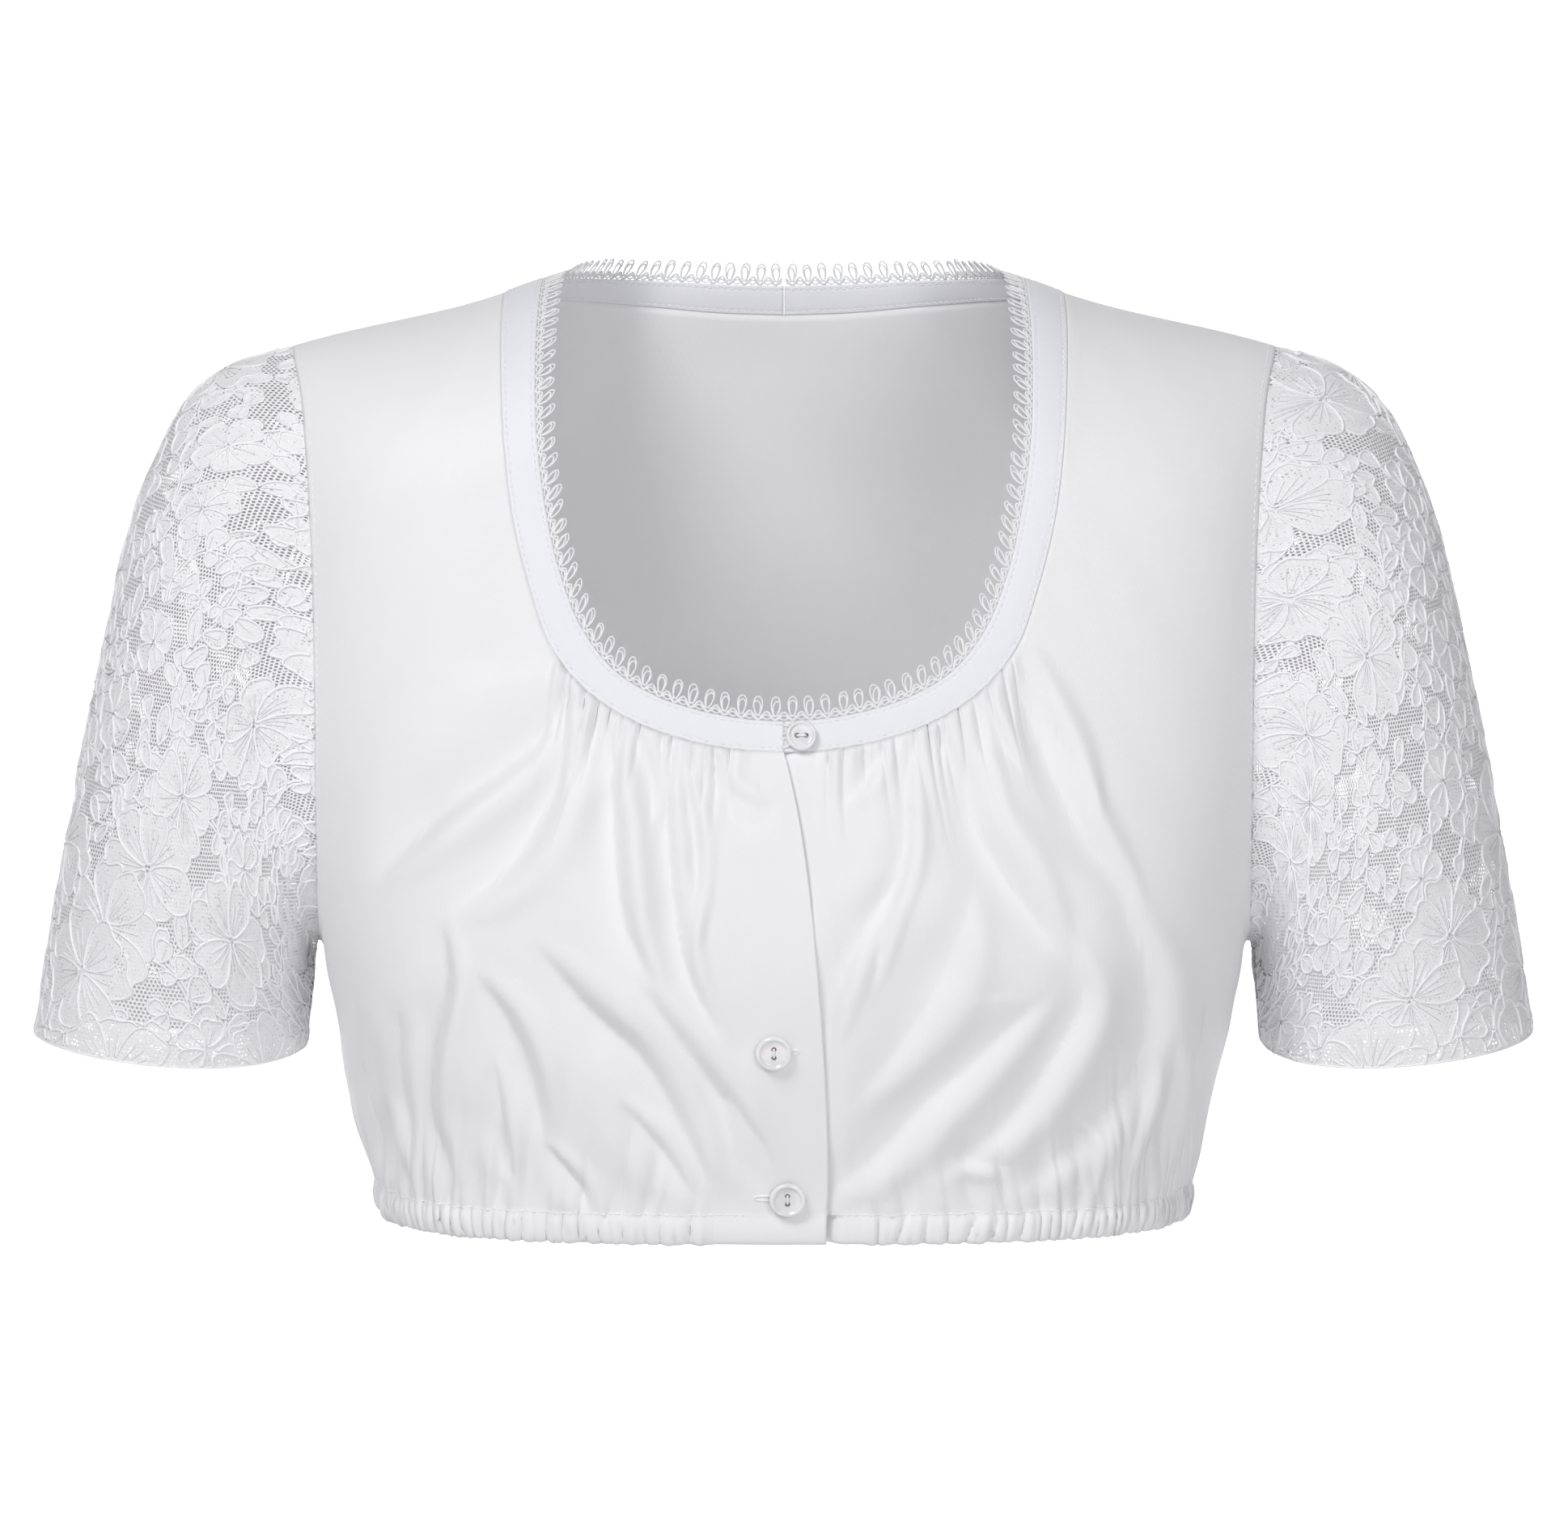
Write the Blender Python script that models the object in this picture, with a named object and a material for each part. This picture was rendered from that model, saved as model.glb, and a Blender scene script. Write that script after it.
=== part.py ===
# Cropped dirndl blouse, worn shape with nobody inside: gathered fronts and back,
# short lace sleeves, a band with picot lace round the neck, three buttons.
# Sizes are in millimetres. +X is the wearer's left, -Y the front, +Z up.
# The origin lies midway between the shoulder tops, where the wearer holds it.
import math

import bmesh
import bpy
import numpy as np
from mathutils import Matrix

MM = 0.001
GAP = 0.3               # between two pieces at a seam
HALF_GAP = GAP / 2

# Cloth walls
CLOTH = 1.3             # front and back, cotton satin with its gathers
LACE = 1.2              # sleeves, corded lace
BAND = 1.6              # neck band, folded double
EDGING = 1.0            # picot lace
HEM_TUBE = 2.8          # turned hem with its elastic

# Levels
HEM = -318.4            # lower edge
HEM_DEPTH = 9.0         # height of the turned hem
UNDERARM = -222.6
NECK_FRONT = -149.0     # lower edge of the neck band at the centre front
ARCH = 65.0             # how far below the shoulder line the cloth turns over it
SQUARE = 0.05           # how square a level section of the garment is

SIDE_REACH = 2.5        # how closely the columns follow the armhole only beside it
UNDERARM_DENT = 1.2     # how far the panels are drawn in beside the underarm
UNDERARM_DROP = 6.0     # and down, so that no row rises over the armhole there
DENT_SHARE = 0.12       # its reach across a panel
DENT_ROW = 0.05         # and up it
UNDERARM_CLEAR = 0.8    # how much wider the gap is where the sleeve turns under the arm
CLEAR_ROW = 0.07

LAP_BACK = 2.1          # how far the under front sits behind the upper one
LAP_EASE = 9.0          # width over which it gets there


def table(columns, rows):
    """Named columns from rows of numbers."""
    return {name: np.array([row[i] for row in rows], float) for i, name in enumerate(columns)}


# Level sections of the garment, from the hem upwards. Over the shoulders the level
# goes on as a length along the cloth.
FORM = table(("level", "half_width", "front", "back"), [
    (-322, 142.0, 91.5, 76),
    (-305, 146.3, 94.0, 77),
    (-279, 152.3, 101.0, 80),
    (-250, 159.2, 108.5, 84),
    (-222, 165.5, 112.5, 88),
    (-200, 168.6, 111.5, 90),
    (-168, 172.4, 105.5, 93),
    (-130, 175.8, 95.5, 94),
    (-100, 178.2, 89.0, 93),
    (-60, 183.5, 80.0, 90),
    (-20, 189.5, 72.0, 80),
    (14, 193.2, 66.0, 69),
    (60, 196.0, 62.0, 66),
    (120, 196.0, 60.0, 66),
])

# Height of the shoulder line, from the middle outwards, with the open neck inside it
SHOULDER = table(("out", "height"), [
    (0, 85.0),
    (45, 70.0),
    (62, 47.0),
    (74, 26.0),
    (85.4, 13.3),
    (99, 8.4),
    (174.6, -10.6),
    (200, -19.0),
])
NECK_POINT = 99.0       # where the shoulder seam meets the neck band
SHOULDER_TIP = 174.6    # where it meets the sleeve

# Lower edge of the neck band, centre front to neck point, then on to the centre back
BAND_LOW_FRONT = table(("out", "height"), [
    (0, -149.0), (16, -148.2), (34, -144.8), (52, -138.3), (68.3, -127.5), (79.4, -113.9),
    (86.5, -94.8), (92.3, -72.9), (95.8, -48.1), (97.7, -23.0), (98.8, -2.0), (99, 8.4),
])
BAND_LOW_BACK = table(("out", "height"), [
    (99, 8.4), (95.5, 7.6), (86, 6.9), (70, 6.4), (50, 5.0), (25, 2.8), (0, 1.9),
])
# Upper edge of the neck band
BAND_TOP_FRONT = table(("out", "height"), [
    (0, -138.7), (12, -138.0), (28, -135.2), (43, -130.4), (57.3, -121.9), (68.3, -108.3),
    (76.2, -89.2), (81.2, -68.0), (84.3, -46.0), (85.6, -23.1), (85.8, -3.2), (85.4, 13.3),
])
BAND_TOP_BACK = table(("out", "height"), [
    (85.4, 13.3), (82.3, 14.0), (76, 14.4), (64, 14.7), (46, 14.4), (23, 13.2), (0, 12.6),
])
# Front view of the armhole, underarm to shoulder tip
ARMHOLE = table(("out", "height"), [
    (165.5, -222.6), (164.6, -216.5), (163.6, -200.0), (163.1, -180.0), (163.1, -158.0),
    (163.3, -129.6), (163.7, -101.5), (164.6, -73.4), (166.5, -48.3), (169.8, -25.7),
    (174.6, -10.6),
])

# Edge of the upper front, which laps over to the wearer's left
LAP_EDGE = table(("height", "over"), [
    (-322, 13.2), (-308, 14.8), (-279, 15.0), (-250, 13.5), (-222, 11.3), (-195, 8.6),
    (-168, 4.5), (-149, 0.2),
])

# Rows of each panel, as a share of the way from the top of the hem tube to the top edge,
# and how many of its columns a row has
UNDERARM_ROW = 0.34
ROWS_LOW = (0.045, 0.115, 0.195, 0.27)
ROWS_HIGH = (0.34, 0.38, 0.425, 0.475, 0.53, 0.585, 0.64, 0.70, 0.76, 0.815, 0.865, 0.91, 0.948, 0.978, 1.0)

# Each front: gathers at the hem, the flat strip at its front edge, and the shares of its width
# between which the columns are drawn together on the neck band
FRONTS = {
    "front_right": dict(side=-1, over=True, hem_gathers=25, flat_columns=4, flat_to=24.0,
                        neck_from=0.13, neck_to=0.62),
    "front_left": dict(side=1, over=False, hem_gathers=28, flat_columns=4, flat_to=26.0,
                       neck_from=0.13, neck_to=0.60),
}
HEM_GATHER = 1.05       # height of a gather at the hem
HEM_GATHER_RUN = 46.0   # how far up it reaches
NECK_GATHER = 1.0
NECK_GATHER_RUN = 48.0
FRONT_DROP = 170.0      # length of a front from neck band to hem
NECK_FLAT = 10.0        # length of the neck band with no gathers at the centre front
NECK_GATHERED = 90.0    # and where its gathers end
NECK_SHARE = 0.8        # of a front's width that goes into the neck band
FOLD_START = 16.0       # folds begin this far from the middle, beside the flat strip
FOLD_START_EASE = 14.0
BACK_GATHERS = 60
BACK_NECK_SHARE = 0.6   # of the back's width at its top edge that goes into the neck band

# The turned hem from its lower edge up: height, share of the full thickness, share of the gather
HEM_SHAPE = table(("height", "thick", "gather"), [(0, 0.75, 0.95), (4.5, 1.0, 1.1), (9.0, 0.62, 1.0)])

# Folds of the cloth, seen from the front: three points of a bent line, the width of the fold
# and its height, below zero for a trough. out is measured from the middle to that side.
FOLD_COLUMNS = ("out0", "z0", "out1", "z1", "out2", "z2", "width", "height")
FOLDS = {
    "front_right": table(FOLD_COLUMNS, [
        (72, -128, 101, -155, 125, -184, 13, 3.0),
        (54, -146, 56, -172, 58, -204, 11, 2.0),
        (92, -126, 122, -150, 146, -160, 12, -2.2),
        (118, -214, 122, -250, 118, -303, 12, 3.2),
        (84, -212, 56, -258, 34, -303, 12, 3.2),
        (98, -226, 90, -262, 84, -303, 10, -2.6),
        (62, -176, 62, -210, 50, -240, 12, -2.4),
        (41, -176, 30, -226, 20, -262, 11, 2.4),
        (142, -232, 142, -266, 136, -303, 11, 2.6),
        (60, -258, 56, -280, 52, -304, 9, -2.0),
    ]),
    "front_left": table(FOLD_COLUMNS, [
        (44, -150, 41, -174, 38, -204, 11, 2.2),
        (76, -120, 87, -144, 104, -176, 12, 2.8),
        (62, -146, 68, -168, 74, -196, 10, -2.2),
        (38, -196, 32, -226, 22, -262, 11, 2.2),
        (82, -232, 60, -262, 34, -303, 12, 3.2),
        (104, -222, 92, -256, 74, -304, 10, -2.8),
        (124, -234, 112, -268, 92, -303, 12, 3.0),
        (143, -230, 142, -266, 136, -303, 11, 2.6),
        (84, -184, 90, -202, 98, -220, 11, -3.0),
        (110, -186, 124, -196, 142, -204, 12, 2.0),
    ]),
    # out runs from the wearer's right, below zero, to the left
    "back": table(FOLD_COLUMNS, [
        (-138, -226, -140, -262, -134, -302, 12, 2.6),
        (-112, -200, -118, -250, -110, -302, 13, 2.8),
        (-92, -226, -96, -264, -92, -303, 11, -2.4),
        (-70, -190, -78, -250, -72, -302, 13, 2.8),
        (-44, -150, -50, -226, -48, -302, 13, 2.4),
        (-24, -220, -26, -262, -24, -303, 12, -2.4),
        (-2, -168, -4, -236, -2, -302, 13, 2.4),
        (22, -210, 20, -260, 24, -303, 11, -2.4),
        (44, -156, 52, -226, 50, -302, 13, 2.6),
        (72, -200, 76, -258, 72, -303, 11, -2.4),
        (94, -190, 102, -252, 98, -302, 13, 2.8),
        (118, -222, 122, -264, 118, -303, 11, -2.4),
        (139, -222, 141, -260, 136, -302, 12, 2.6),
        (-140, -80, -118, -112, -84, -136, 16, 2.2),
        (140, -84, 118, -116, 80, -140, 16, 2.2),
    ]),
}

# Sleeves, seen from the front: outer line from shoulder tip to cuff, inner line from underarm
SLEEVE_OUTER = table(("out", "height"), [
    (174.6, -10.6), (183.5, -12.9), (193.5, -16.2), (202.6, -21.2), (210.2, -27.2), (216.0, -34.6),
    (220.4, -42.6), (224.8, -51.6), (229.4, -63.4), (233.7, -77.4), (240.6, -106.3), (246.7, -135.3),
    (252.5, -164.3), (258.0, -193.4), (263.3, -222.6), (268.8, -254.0),
])
SLEEVE_INNER = table(("out", "height"), [
    (165.5, -222.6), (168.8, -223.0), (169.5, -227.0), (169.9, -236.0), (170.7, -248.0), (171.6, -259.6),
])
SLEEVE_RINGS = (0, 0.045, 0.12, 0.22, 0.34, 0.46, 0.58, 0.70, 0.81, 0.91, 1.0)
# Half of the sleeve's front to back size, from the armhole to the cuff
SLEEVE_DEPTH = table(("share", "depth"), [(0, 51), (0.3, 58), (0.6, 59), (0.85, 55), (1.0, 52.5)])
CUFF_DIP = 5.0          # the cuff hangs lower at its front and back

PICOTS = 58             # small loops of the neck lace on each side
PICOT_TOP = 9.3         # above the neck band
PICOT_VALLEY = 4.6

# Buttons: place in the front view, outer radius, how far its holes are turned, the wall it
# lies on and the gap between them
BUTTONS = {
    "button_top": dict(out=5.9, height=-143.8, radius=5.2, turn=0.0, on=BAND, lift=0.3),
    "button_middle": dict(out=-3.4, height=-249.9, radius=6.1, turn=90.0, on=CLOTH, lift=0.3),
    "button_bottom": dict(out=1.2, height=-301.8, radius=6.1, turn=90.0, on=CLOTH, lift=0.7),
}
BUTTON_SIDES = 18
HOLE_RADIUS = 0.9
HOLE_OUT = 1.5
# Half profile of a button in shares of its radius and millimetres of height
BUTTON_PROFILE = table(("share", "height"), [
    (0, 0), (0.86, 0), (1.0, 0.75), (1.0, 1.5), (0.9, 2.4), (0.76, 2.2), (0.64, 1.5), (0, 1.4),
])

COLOURS = {
    "satin": ((0.84, 0.84, 0.87), 0.55),
    "band": ((0.80, 0.80, 0.85), 0.55),
    "lace": ((0.86, 0.84, 0.86), 0.8),
    "pearl": ((0.80, 0.79, 0.80), 0.2),
}


def smooth(xs, ys, x):
    """A smooth line through the rows of a table, straight on past its ends."""
    if xs[0] > xs[-1]:
        xs, ys = xs[::-1], ys[::-1]
    x = np.asarray(x, float)
    slopes = np.gradient(ys, xs)
    i = np.clip(np.searchsorted(xs, x) - 1, 0, len(xs) - 2)
    span = xs[i + 1] - xs[i]
    t = np.clip((x - xs[i]) / span, 0, 1)
    curve = ((1 + 2 * t) * (1 - t) ** 2 * ys[i] + t * (1 - t) ** 2 * span * slopes[i]
             + t * t * (3 - 2 * t) * ys[i + 1] + t * t * (t - 1) * span * slopes[i + 1])
    return curve + np.where(x < xs[0], (x - xs[0]) * slopes[0], 0) + np.where(
        x > xs[-1], (x - xs[-1]) * slopes[-1], 0)


def ease(x):
    """0 below 0, 1 above 1, smooth between."""
    x = np.clip(x, 0, 1)
    return x * x * (3 - 2 * x)


def unit(vectors):
    return vectors / np.maximum(np.linalg.norm(vectors, axis=-1, keepdims=True), 1e-9)


# The garment's form. A point is named by its angle round the body, 0 at the middle of the
# front or back and 90 degrees at the side, and its level.

def section(angle):
    """Shares of half width and of depth at an angle of a slightly square oval."""
    across = (np.sin(angle) + SQUARE * np.sin(3 * angle)) / (1 - SQUARE)
    deep = (np.cos(angle) - SQUARE * np.cos(3 * angle)) / (1 - SQUARE)
    return across, deep


ANGLES = np.linspace(0, math.pi / 2, 721)
ACROSS = section(ANGLES)[0]


def form_point(angle, level, face):
    """Point on the form; face is 'front' or 'back'."""
    across, deep = section(angle)
    x = smooth(FORM["level"], FORM["half_width"], level) * across
    turn_level = smooth(SHOULDER["out"], SHOULDER["height"], np.abs(x)) - ARCH
    arch = np.clip((level - turn_level) / ARCH, 0, math.pi / 2)
    z = np.where(arch > 0, turn_level + ARCH * np.sin(arch), level)
    y = smooth(FORM["level"], FORM[face], level) * deep * np.cos(arch)
    return np.stack([x, -y if face == "front" else y, z], axis=-1)


def form_place(x, z):
    """Angle and level of a point seen in the front view."""
    turn_level = smooth(SHOULDER["out"], SHOULDER["height"], np.abs(x)) - ARCH
    rise = np.clip((z - turn_level) / ARCH, 0, 1)
    level = np.where(z > turn_level, turn_level + ARCH * np.arcsin(rise), z)
    share = np.clip(np.abs(x) / smooth(FORM["level"], FORM["half_width"], level), 0, 1)
    return np.sign(x) * np.interp(share, ACROSS, ANGLES), level


def form_normal(angle, level, face):
    """Outward direction of the form, level at the side and shoulder seams."""
    step = 0.004
    ahead = form_point(angle + step, level, face) - form_point(angle - step, level, face)
    up = form_point(angle, level + 1, face) - form_point(angle, level - 1, face)
    normal = unit(np.cross(ahead, up))
    return normal if face == "front" else -normal


def curve_places(front_view, count=160):
    """Angles and levels along an edge given in the front view."""
    stations = np.linspace(0, 1, count)
    steps = np.hypot(np.diff(front_view["out"]), np.diff(front_view["height"]))
    row = np.concatenate([[0], np.cumsum(steps)]) / steps.sum()
    out = smooth(row, front_view["out"], stations)
    height = smooth(row, front_view["height"], stations)
    return form_place(out, height)


def measured(points):
    """Length along a line of points, from its start."""
    return np.concatenate([[0], np.cumsum(np.linalg.norm(np.diff(points, axis=0), axis=1))])


class Edge:
    """A line on the form that is read by its length in millimetres."""

    def __init__(self, places, face):
        self.angle, self.level = places
        self.face = face
        self.along = measured(form_point(self.angle, self.level, face))
        self.length = self.along[-1]

    def at(self, along):
        return np.interp(along, self.along, self.angle), np.interp(along, self.along, self.level)


def shoulder_places(count=60):
    """The shoulder seam from the neck point out to the tip, on top of the arch."""
    out = np.linspace(NECK_POINT, SHOULDER_TIP, count)
    level = smooth(SHOULDER["out"], SHOULDER["height"], out) - ARCH + ARCH * math.pi / 2
    share = out / smooth(FORM["level"], FORM["half_width"], level)
    return np.interp(share, ACROSS, ANGLES), level


def joined(first, second):
    return tuple(np.concatenate([a, b[1:]]) for a, b in zip(first, second))


def edges(face):
    """Top edge and armhole of half a panel, from the middle outwards."""
    neck = curve_places(BAND_LOW_FRONT if face == "front" else BAND_LOW_BACK)
    if face == "back":
        neck = tuple(part[::-1] for part in neck)
    neck_length = Edge(neck, face).length
    return Edge(joined(neck, shoulder_places()), face), Edge(curve_places(ARMHOLE), face), neck_length


TOP_LEVEL = HEM + HEM_DEPTH


def patch(low, top, left, right, across, row):
    """Angle and level inside four edges: straight from hem to top edge, plus what the middle
    edge and, near it, the side seam and armhole bend away from that."""
    result = []
    for i in range(2):
        value = (1 - row) * low(across)[i] + row * top(across)[i]
        value = value + (1 - across) * (left(row)[i] - (1 - row) * low(0.0)[i] - row * top(0.0)[i])
        bent = right(row)[i] - (1 - row) * low(1.0)[i] - row * top(1.0)[i]
        result.append(value + across ** SIDE_REACH * bent)
    return result


def beside_underarm(share, row):
    """1 at the underarm, where the sleeve turns down, fading round it."""
    beside, level = (1 - share) / DENT_SHARE, (row - UNDERARM_ROW) / DENT_ROW
    return np.exp(-beside ** 2 - level ** 2)


def outer_edge(armhole):
    """Side seam, then armhole, as a function of the share of the way up."""
    def at(row):
        seam = TOP_LEVEL + (UNDERARM - TOP_LEVEL) * np.clip(row / UNDERARM_ROW, 0, 1)
        share = np.clip((row - UNDERARM_ROW) / (1 - UNDERARM_ROW), 0, 1)
        angle, level = armhole.at(share * armhole.length)
        up = np.asarray(row) > UNDERARM_ROW
        return np.where(up, angle, math.pi / 2), np.where(up, level, seam)
    return at


def folds(name, x, z):
    """Height of all folds of a panel at points of the front view."""
    rows = FOLDS[name]
    total = np.zeros_like(x)
    steps = np.linspace(0, 1, 41)
    for i in range(len(rows["out0"])):
        a, b, c = (np.array([rows["out" + k][i], rows["z" + k][i]]) for k in "012")
        line = [(1 - t) ** 2 * a + 2 * t * (1 - t) * b + t * t * c for t in steps]
        line = np.array(line)
        away = np.hypot(x[..., None] - line[:, 0], z[..., None] - line[:, 1])
        nearest = np.argmin(away, axis=-1)
        fade = np.sin(math.pi * (0.06 + 0.9 * steps[nearest])) ** 0.8
        near = np.min(away, axis=-1) / rows["width"][i]
        total += rows["height"][i] * fade * np.exp(-near ** 2)
    return total


def gather_wave(columns):
    """A crest and a trough at every other column."""
    number = np.arange(len(columns))
    return np.where(number % 2 == 0, 1.0, -1.0) * (0.8 + 0.2 * np.sin(number * 1.7))


def hem_rows(angle, face, wave, columns):
    """The turned hem: a soft tube, pinched where it is stitched."""
    rows = []
    for height, thick, gather in zip(*(HEM_SHAPE[key] for key in ("height", "thick", "gather"))):
        level = np.full_like(angle, HEM + height)
        middle = form_point(angle, level, face)
        normal = form_normal(angle, level, face)
        middle = middle + normal * (wave * HEM_GATHER * gather)[:, None]
        rows.append([middle, normal, thick * HEM_TUBE, columns])
    return rows


def columns_of(piece):
    """Shares across a front: a few columns on the flat strip, then two for each gather."""
    low_angle = lap_angle(piece, HEM)
    flat_angle = form_place(np.array(piece["flat_to"]), np.array(HEM))[0]
    flat = (flat_angle - low_angle) / (math.pi / 2 - low_angle)
    return np.concatenate([np.linspace(0, flat, piece["flat_columns"] + 1),
                           np.linspace(flat, 1, 2 * piece["hem_gathers"] + 1)[1:]])


def lap_angle(piece, level):
    """Angle of a front's edge, past the middle on both fronts."""
    over = smooth(LAP_EDGE["height"], LAP_EDGE["over"], level)
    return form_place(-over, np.asarray(level, float) + 0 * over)[0]


def front_sharing(piece):
    """How the columns of a front are shared out along neck band and shoulder seam."""
    top, _, neck_length = edges("front")
    shares = [0, piece["neck_from"], piece["neck_to"], NECK_SHARE, 1.0]
    return shares, [0, NECK_FLAT, NECK_GATHERED, neck_length, top.length]


def neck_edges(face):
    """Lower and upper edge of half the neck band on one face, from the middle outwards."""
    lines = (BAND_LOW_FRONT, BAND_TOP_FRONT) if face == "front" else (BAND_LOW_BACK, BAND_TOP_BACK)
    places = [curve_places(line) for line in lines]
    if face == "back":
        places = [tuple(part[::-1] for part in place) for place in places]
    return [Edge(place, face) for place in places]


def neck_pair(face, share):
    """Points of the band's lower and upper edge at shares of its length."""
    return [form_point(*edge.at(share * edge.length), face) for edge in neck_edges(face)]


def neck_away(face, along, neck_length):
    """Direction from a panel to the neck band, nothing along the shoulder seam."""
    low, high = neck_pair(face, np.clip(along / neck_length, 0, 1))
    return unit(high - low) * (along <= neck_length + 1e-6)[:, None]


def front_panel(piece, name, loop):
    """Rows of points of one front, made for the wearer's left and turned by side."""
    top, armhole, neck_length = edges("front")
    columns = columns_of(piece)
    start, end = piece["neck_from"], piece["neck_to"]
    share_along = front_sharing(piece)

    def low(share):
        first = lap_angle(piece, TOP_LEVEL)
        return first + (math.pi / 2 - first) * share, np.full_like(np.asarray(share, float), TOP_LEVEL)

    def high(share):
        return top.at(np.interp(share, *share_along))

    def middle_edge(row):
        level = TOP_LEVEL + (NECK_FRONT - TOP_LEVEL) * np.asarray(row, float)
        return lap_angle(piece, level) * ease((1 - np.asarray(row, float)) / 0.02), level

    wave = gather_wave(columns)
    flat = columns <= columns[piece["flat_columns"]] + 1e-9
    hem_wave = np.where(flat, 0, wave)
    hem_wave[-1] = 0
    neck_wave = np.where((columns > start) & (columns < end), wave, 0)
    low_angles = low(columns)[0]
    rows = hem_rows(low_angles, "front", hem_wave, columns)
    number = np.arange(len(columns))
    strip = number < piece["flat_columns"]
    for row in ROWS_LOW + ROWS_HIGH:
        dense = row < 0.15 or row > 0.93
        pick = strip | (number % (1 if dense else 2) == 0)
        share = columns[pick]
        angle, level = patch(low, high, middle_edge, outer_edge(armhole), share, row)
        near = beside_underarm(share, row)
        level = level - UNDERARM_DROP * near
        points, normals = form_point(angle, level, "front"), form_normal(angle, level, "front")
        x, z = points[:, 0], points[:, 2]
        free = ease((x - FOLD_START) / FOLD_START_EASE) * ease((1 - share) / 0.07) * ease((1 - row) / 0.05)
        lift = folds(name, x, z) * free - UNDERARM_DENT * near
        if dense:
            run = np.clip(1 - (z - TOP_LEVEL) / HEM_GATHER_RUN, 0, 1)
            lift += hem_wave * HEM_GATHER * run * (row < 0.5)
            below = (1 - row) * FRONT_DROP
            run = np.clip(below / 5, 0, 1) * np.clip(1 - below / NECK_GATHER_RUN, 0, 1)
            lift += neck_wave * NECK_GATHER * run * (row > 0.5)
        rows.append([points + normals * lift[:, None], normals, CLOTH, share])
    if not piece["over"]:
        for row in rows:
            over = smooth(LAP_EDGE["height"], LAP_EDGE["over"], row[0][:, 2])
            back = LAP_BACK + (HEM_TUBE - CLOTH) * (row[2] > CLOTH)
            shift = back * ease((over + LAP_EASE - row[0][:, 0]) / LAP_EASE)
            row[0] = row[0] - row[1] * shift[:, None]
    away = neck_away("front", np.interp(columns, *share_along), neck_length)
    return seamed(rows, "front", loop, piece["side"], away)


def back_panel(loop):
    """Rows of the back, from the wearer's right side seam to the left."""
    top, armhole, neck_length = edges("back")
    columns = np.linspace(-1, 1, 2 * BACK_GATHERS + 1)
    share_along = ([0, BACK_NECK_SHARE, 1.0], [0, neck_length, top.length])

    def low(share):
        return share * math.pi / 2, np.full_like(np.asarray(share, float), TOP_LEVEL)

    def high(share):
        return top.at(np.interp(share, *share_along))

    def middle_edge(row):
        level = TOP_LEVEL + (BAND_LOW_BACK["height"][-1] - TOP_LEVEL) * np.asarray(row, float)
        return np.zeros_like(level), level

    wave = gather_wave(columns)
    wave[[0, -1]] = 0
    rows = hem_rows(low(columns)[0], "back", wave, columns)
    for row in ROWS_LOW + ROWS_HIGH:
        step = 1 if row < 0.07 else 2 if row < 0.15 or row > 0.96 else 5
        share = columns[::step]
        angle, level = patch(low, high, middle_edge, outer_edge(armhole), np.abs(share), row)
        near = beside_underarm(np.abs(share), row)
        angle, level = angle * np.sign(share), level - UNDERARM_DROP * near
        points, normals = form_point(angle, level, "back"), form_normal(angle, level, "back")
        x, z = points[:, 0], points[:, 2]
        lift = folds("back", x, z) * ease((1 - np.abs(share)) / 0.06) * ease((1 - row) / 0.05)
        lift -= UNDERARM_DENT * near
        if step == 1:
            lift += wave * HEM_GATHER * np.clip(1 - (z - TOP_LEVEL) / HEM_GATHER_RUN, 0, 1)
        rows.append([points + normals * lift[:, None], normals, CLOTH, share])
    along = np.interp(np.abs(columns[::2]), *share_along)
    away = neck_away("back", along, neck_length)
    away[:, 0] *= np.sign(columns[::2])
    return seamed(rows, "back", loop, 1, away)


def armhole_loop():
    """The armhole seam of the wearer's left side: points from the underarm up the front to the
    shoulder tip and down the back, with half the gap towards the sleeve and the seam's own
    outward direction at each."""
    shares = (np.array(ROWS_HIGH) - UNDERARM_ROW) / (1 - UNDERARM_ROW)
    points, normals = [], []
    for face in ("front", "back"):
        armhole = Edge(curve_places(ARMHOLE), face)
        angle, level = armhole.at(shares * armhole.length)
        points.append(form_point(angle, level, face))
        normals.append(form_normal(angle, level, face))
    count = len(shares)
    line = np.concatenate([points[0], points[1][-2:0:-1]])
    line[0] = (SLEEVE_INNER["out"][0], 0, SLEEVE_INNER["height"][0])
    line[count - 1] = (SLEEVE_OUTER["out"][0], 0, SLEEVE_OUTER["height"][0])
    body = np.concatenate([normals[0], normals[1][-2:0:-1]])
    sleeve = sleeve_points(line)
    tangent = unit(np.roll(line, -1, axis=0) - np.roll(line, 1, axis=0))
    leaving = sleeve[1] - sleeve[0]
    outward = unit(np.cross(leaving, tangent))
    seam = unit(body + outward)
    seam = unit(seam - tangent * np.sum(seam * tangent, axis=1, keepdims=True))
    into = unit(np.cross(tangent, seam))
    into = into * np.sign(np.sum(into * leaving, axis=1, keepdims=True))
    beside = np.concatenate([shares, shares[-2:0:-1]]) / CLEAR_ROW
    clear = HALF_GAP * (1 + UNDERARM_CLEAR * np.exp(-beside ** 2))
    return dict(line=line, seam=seam, into=into * clear[:, None], sleeve=sleeve)


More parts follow.
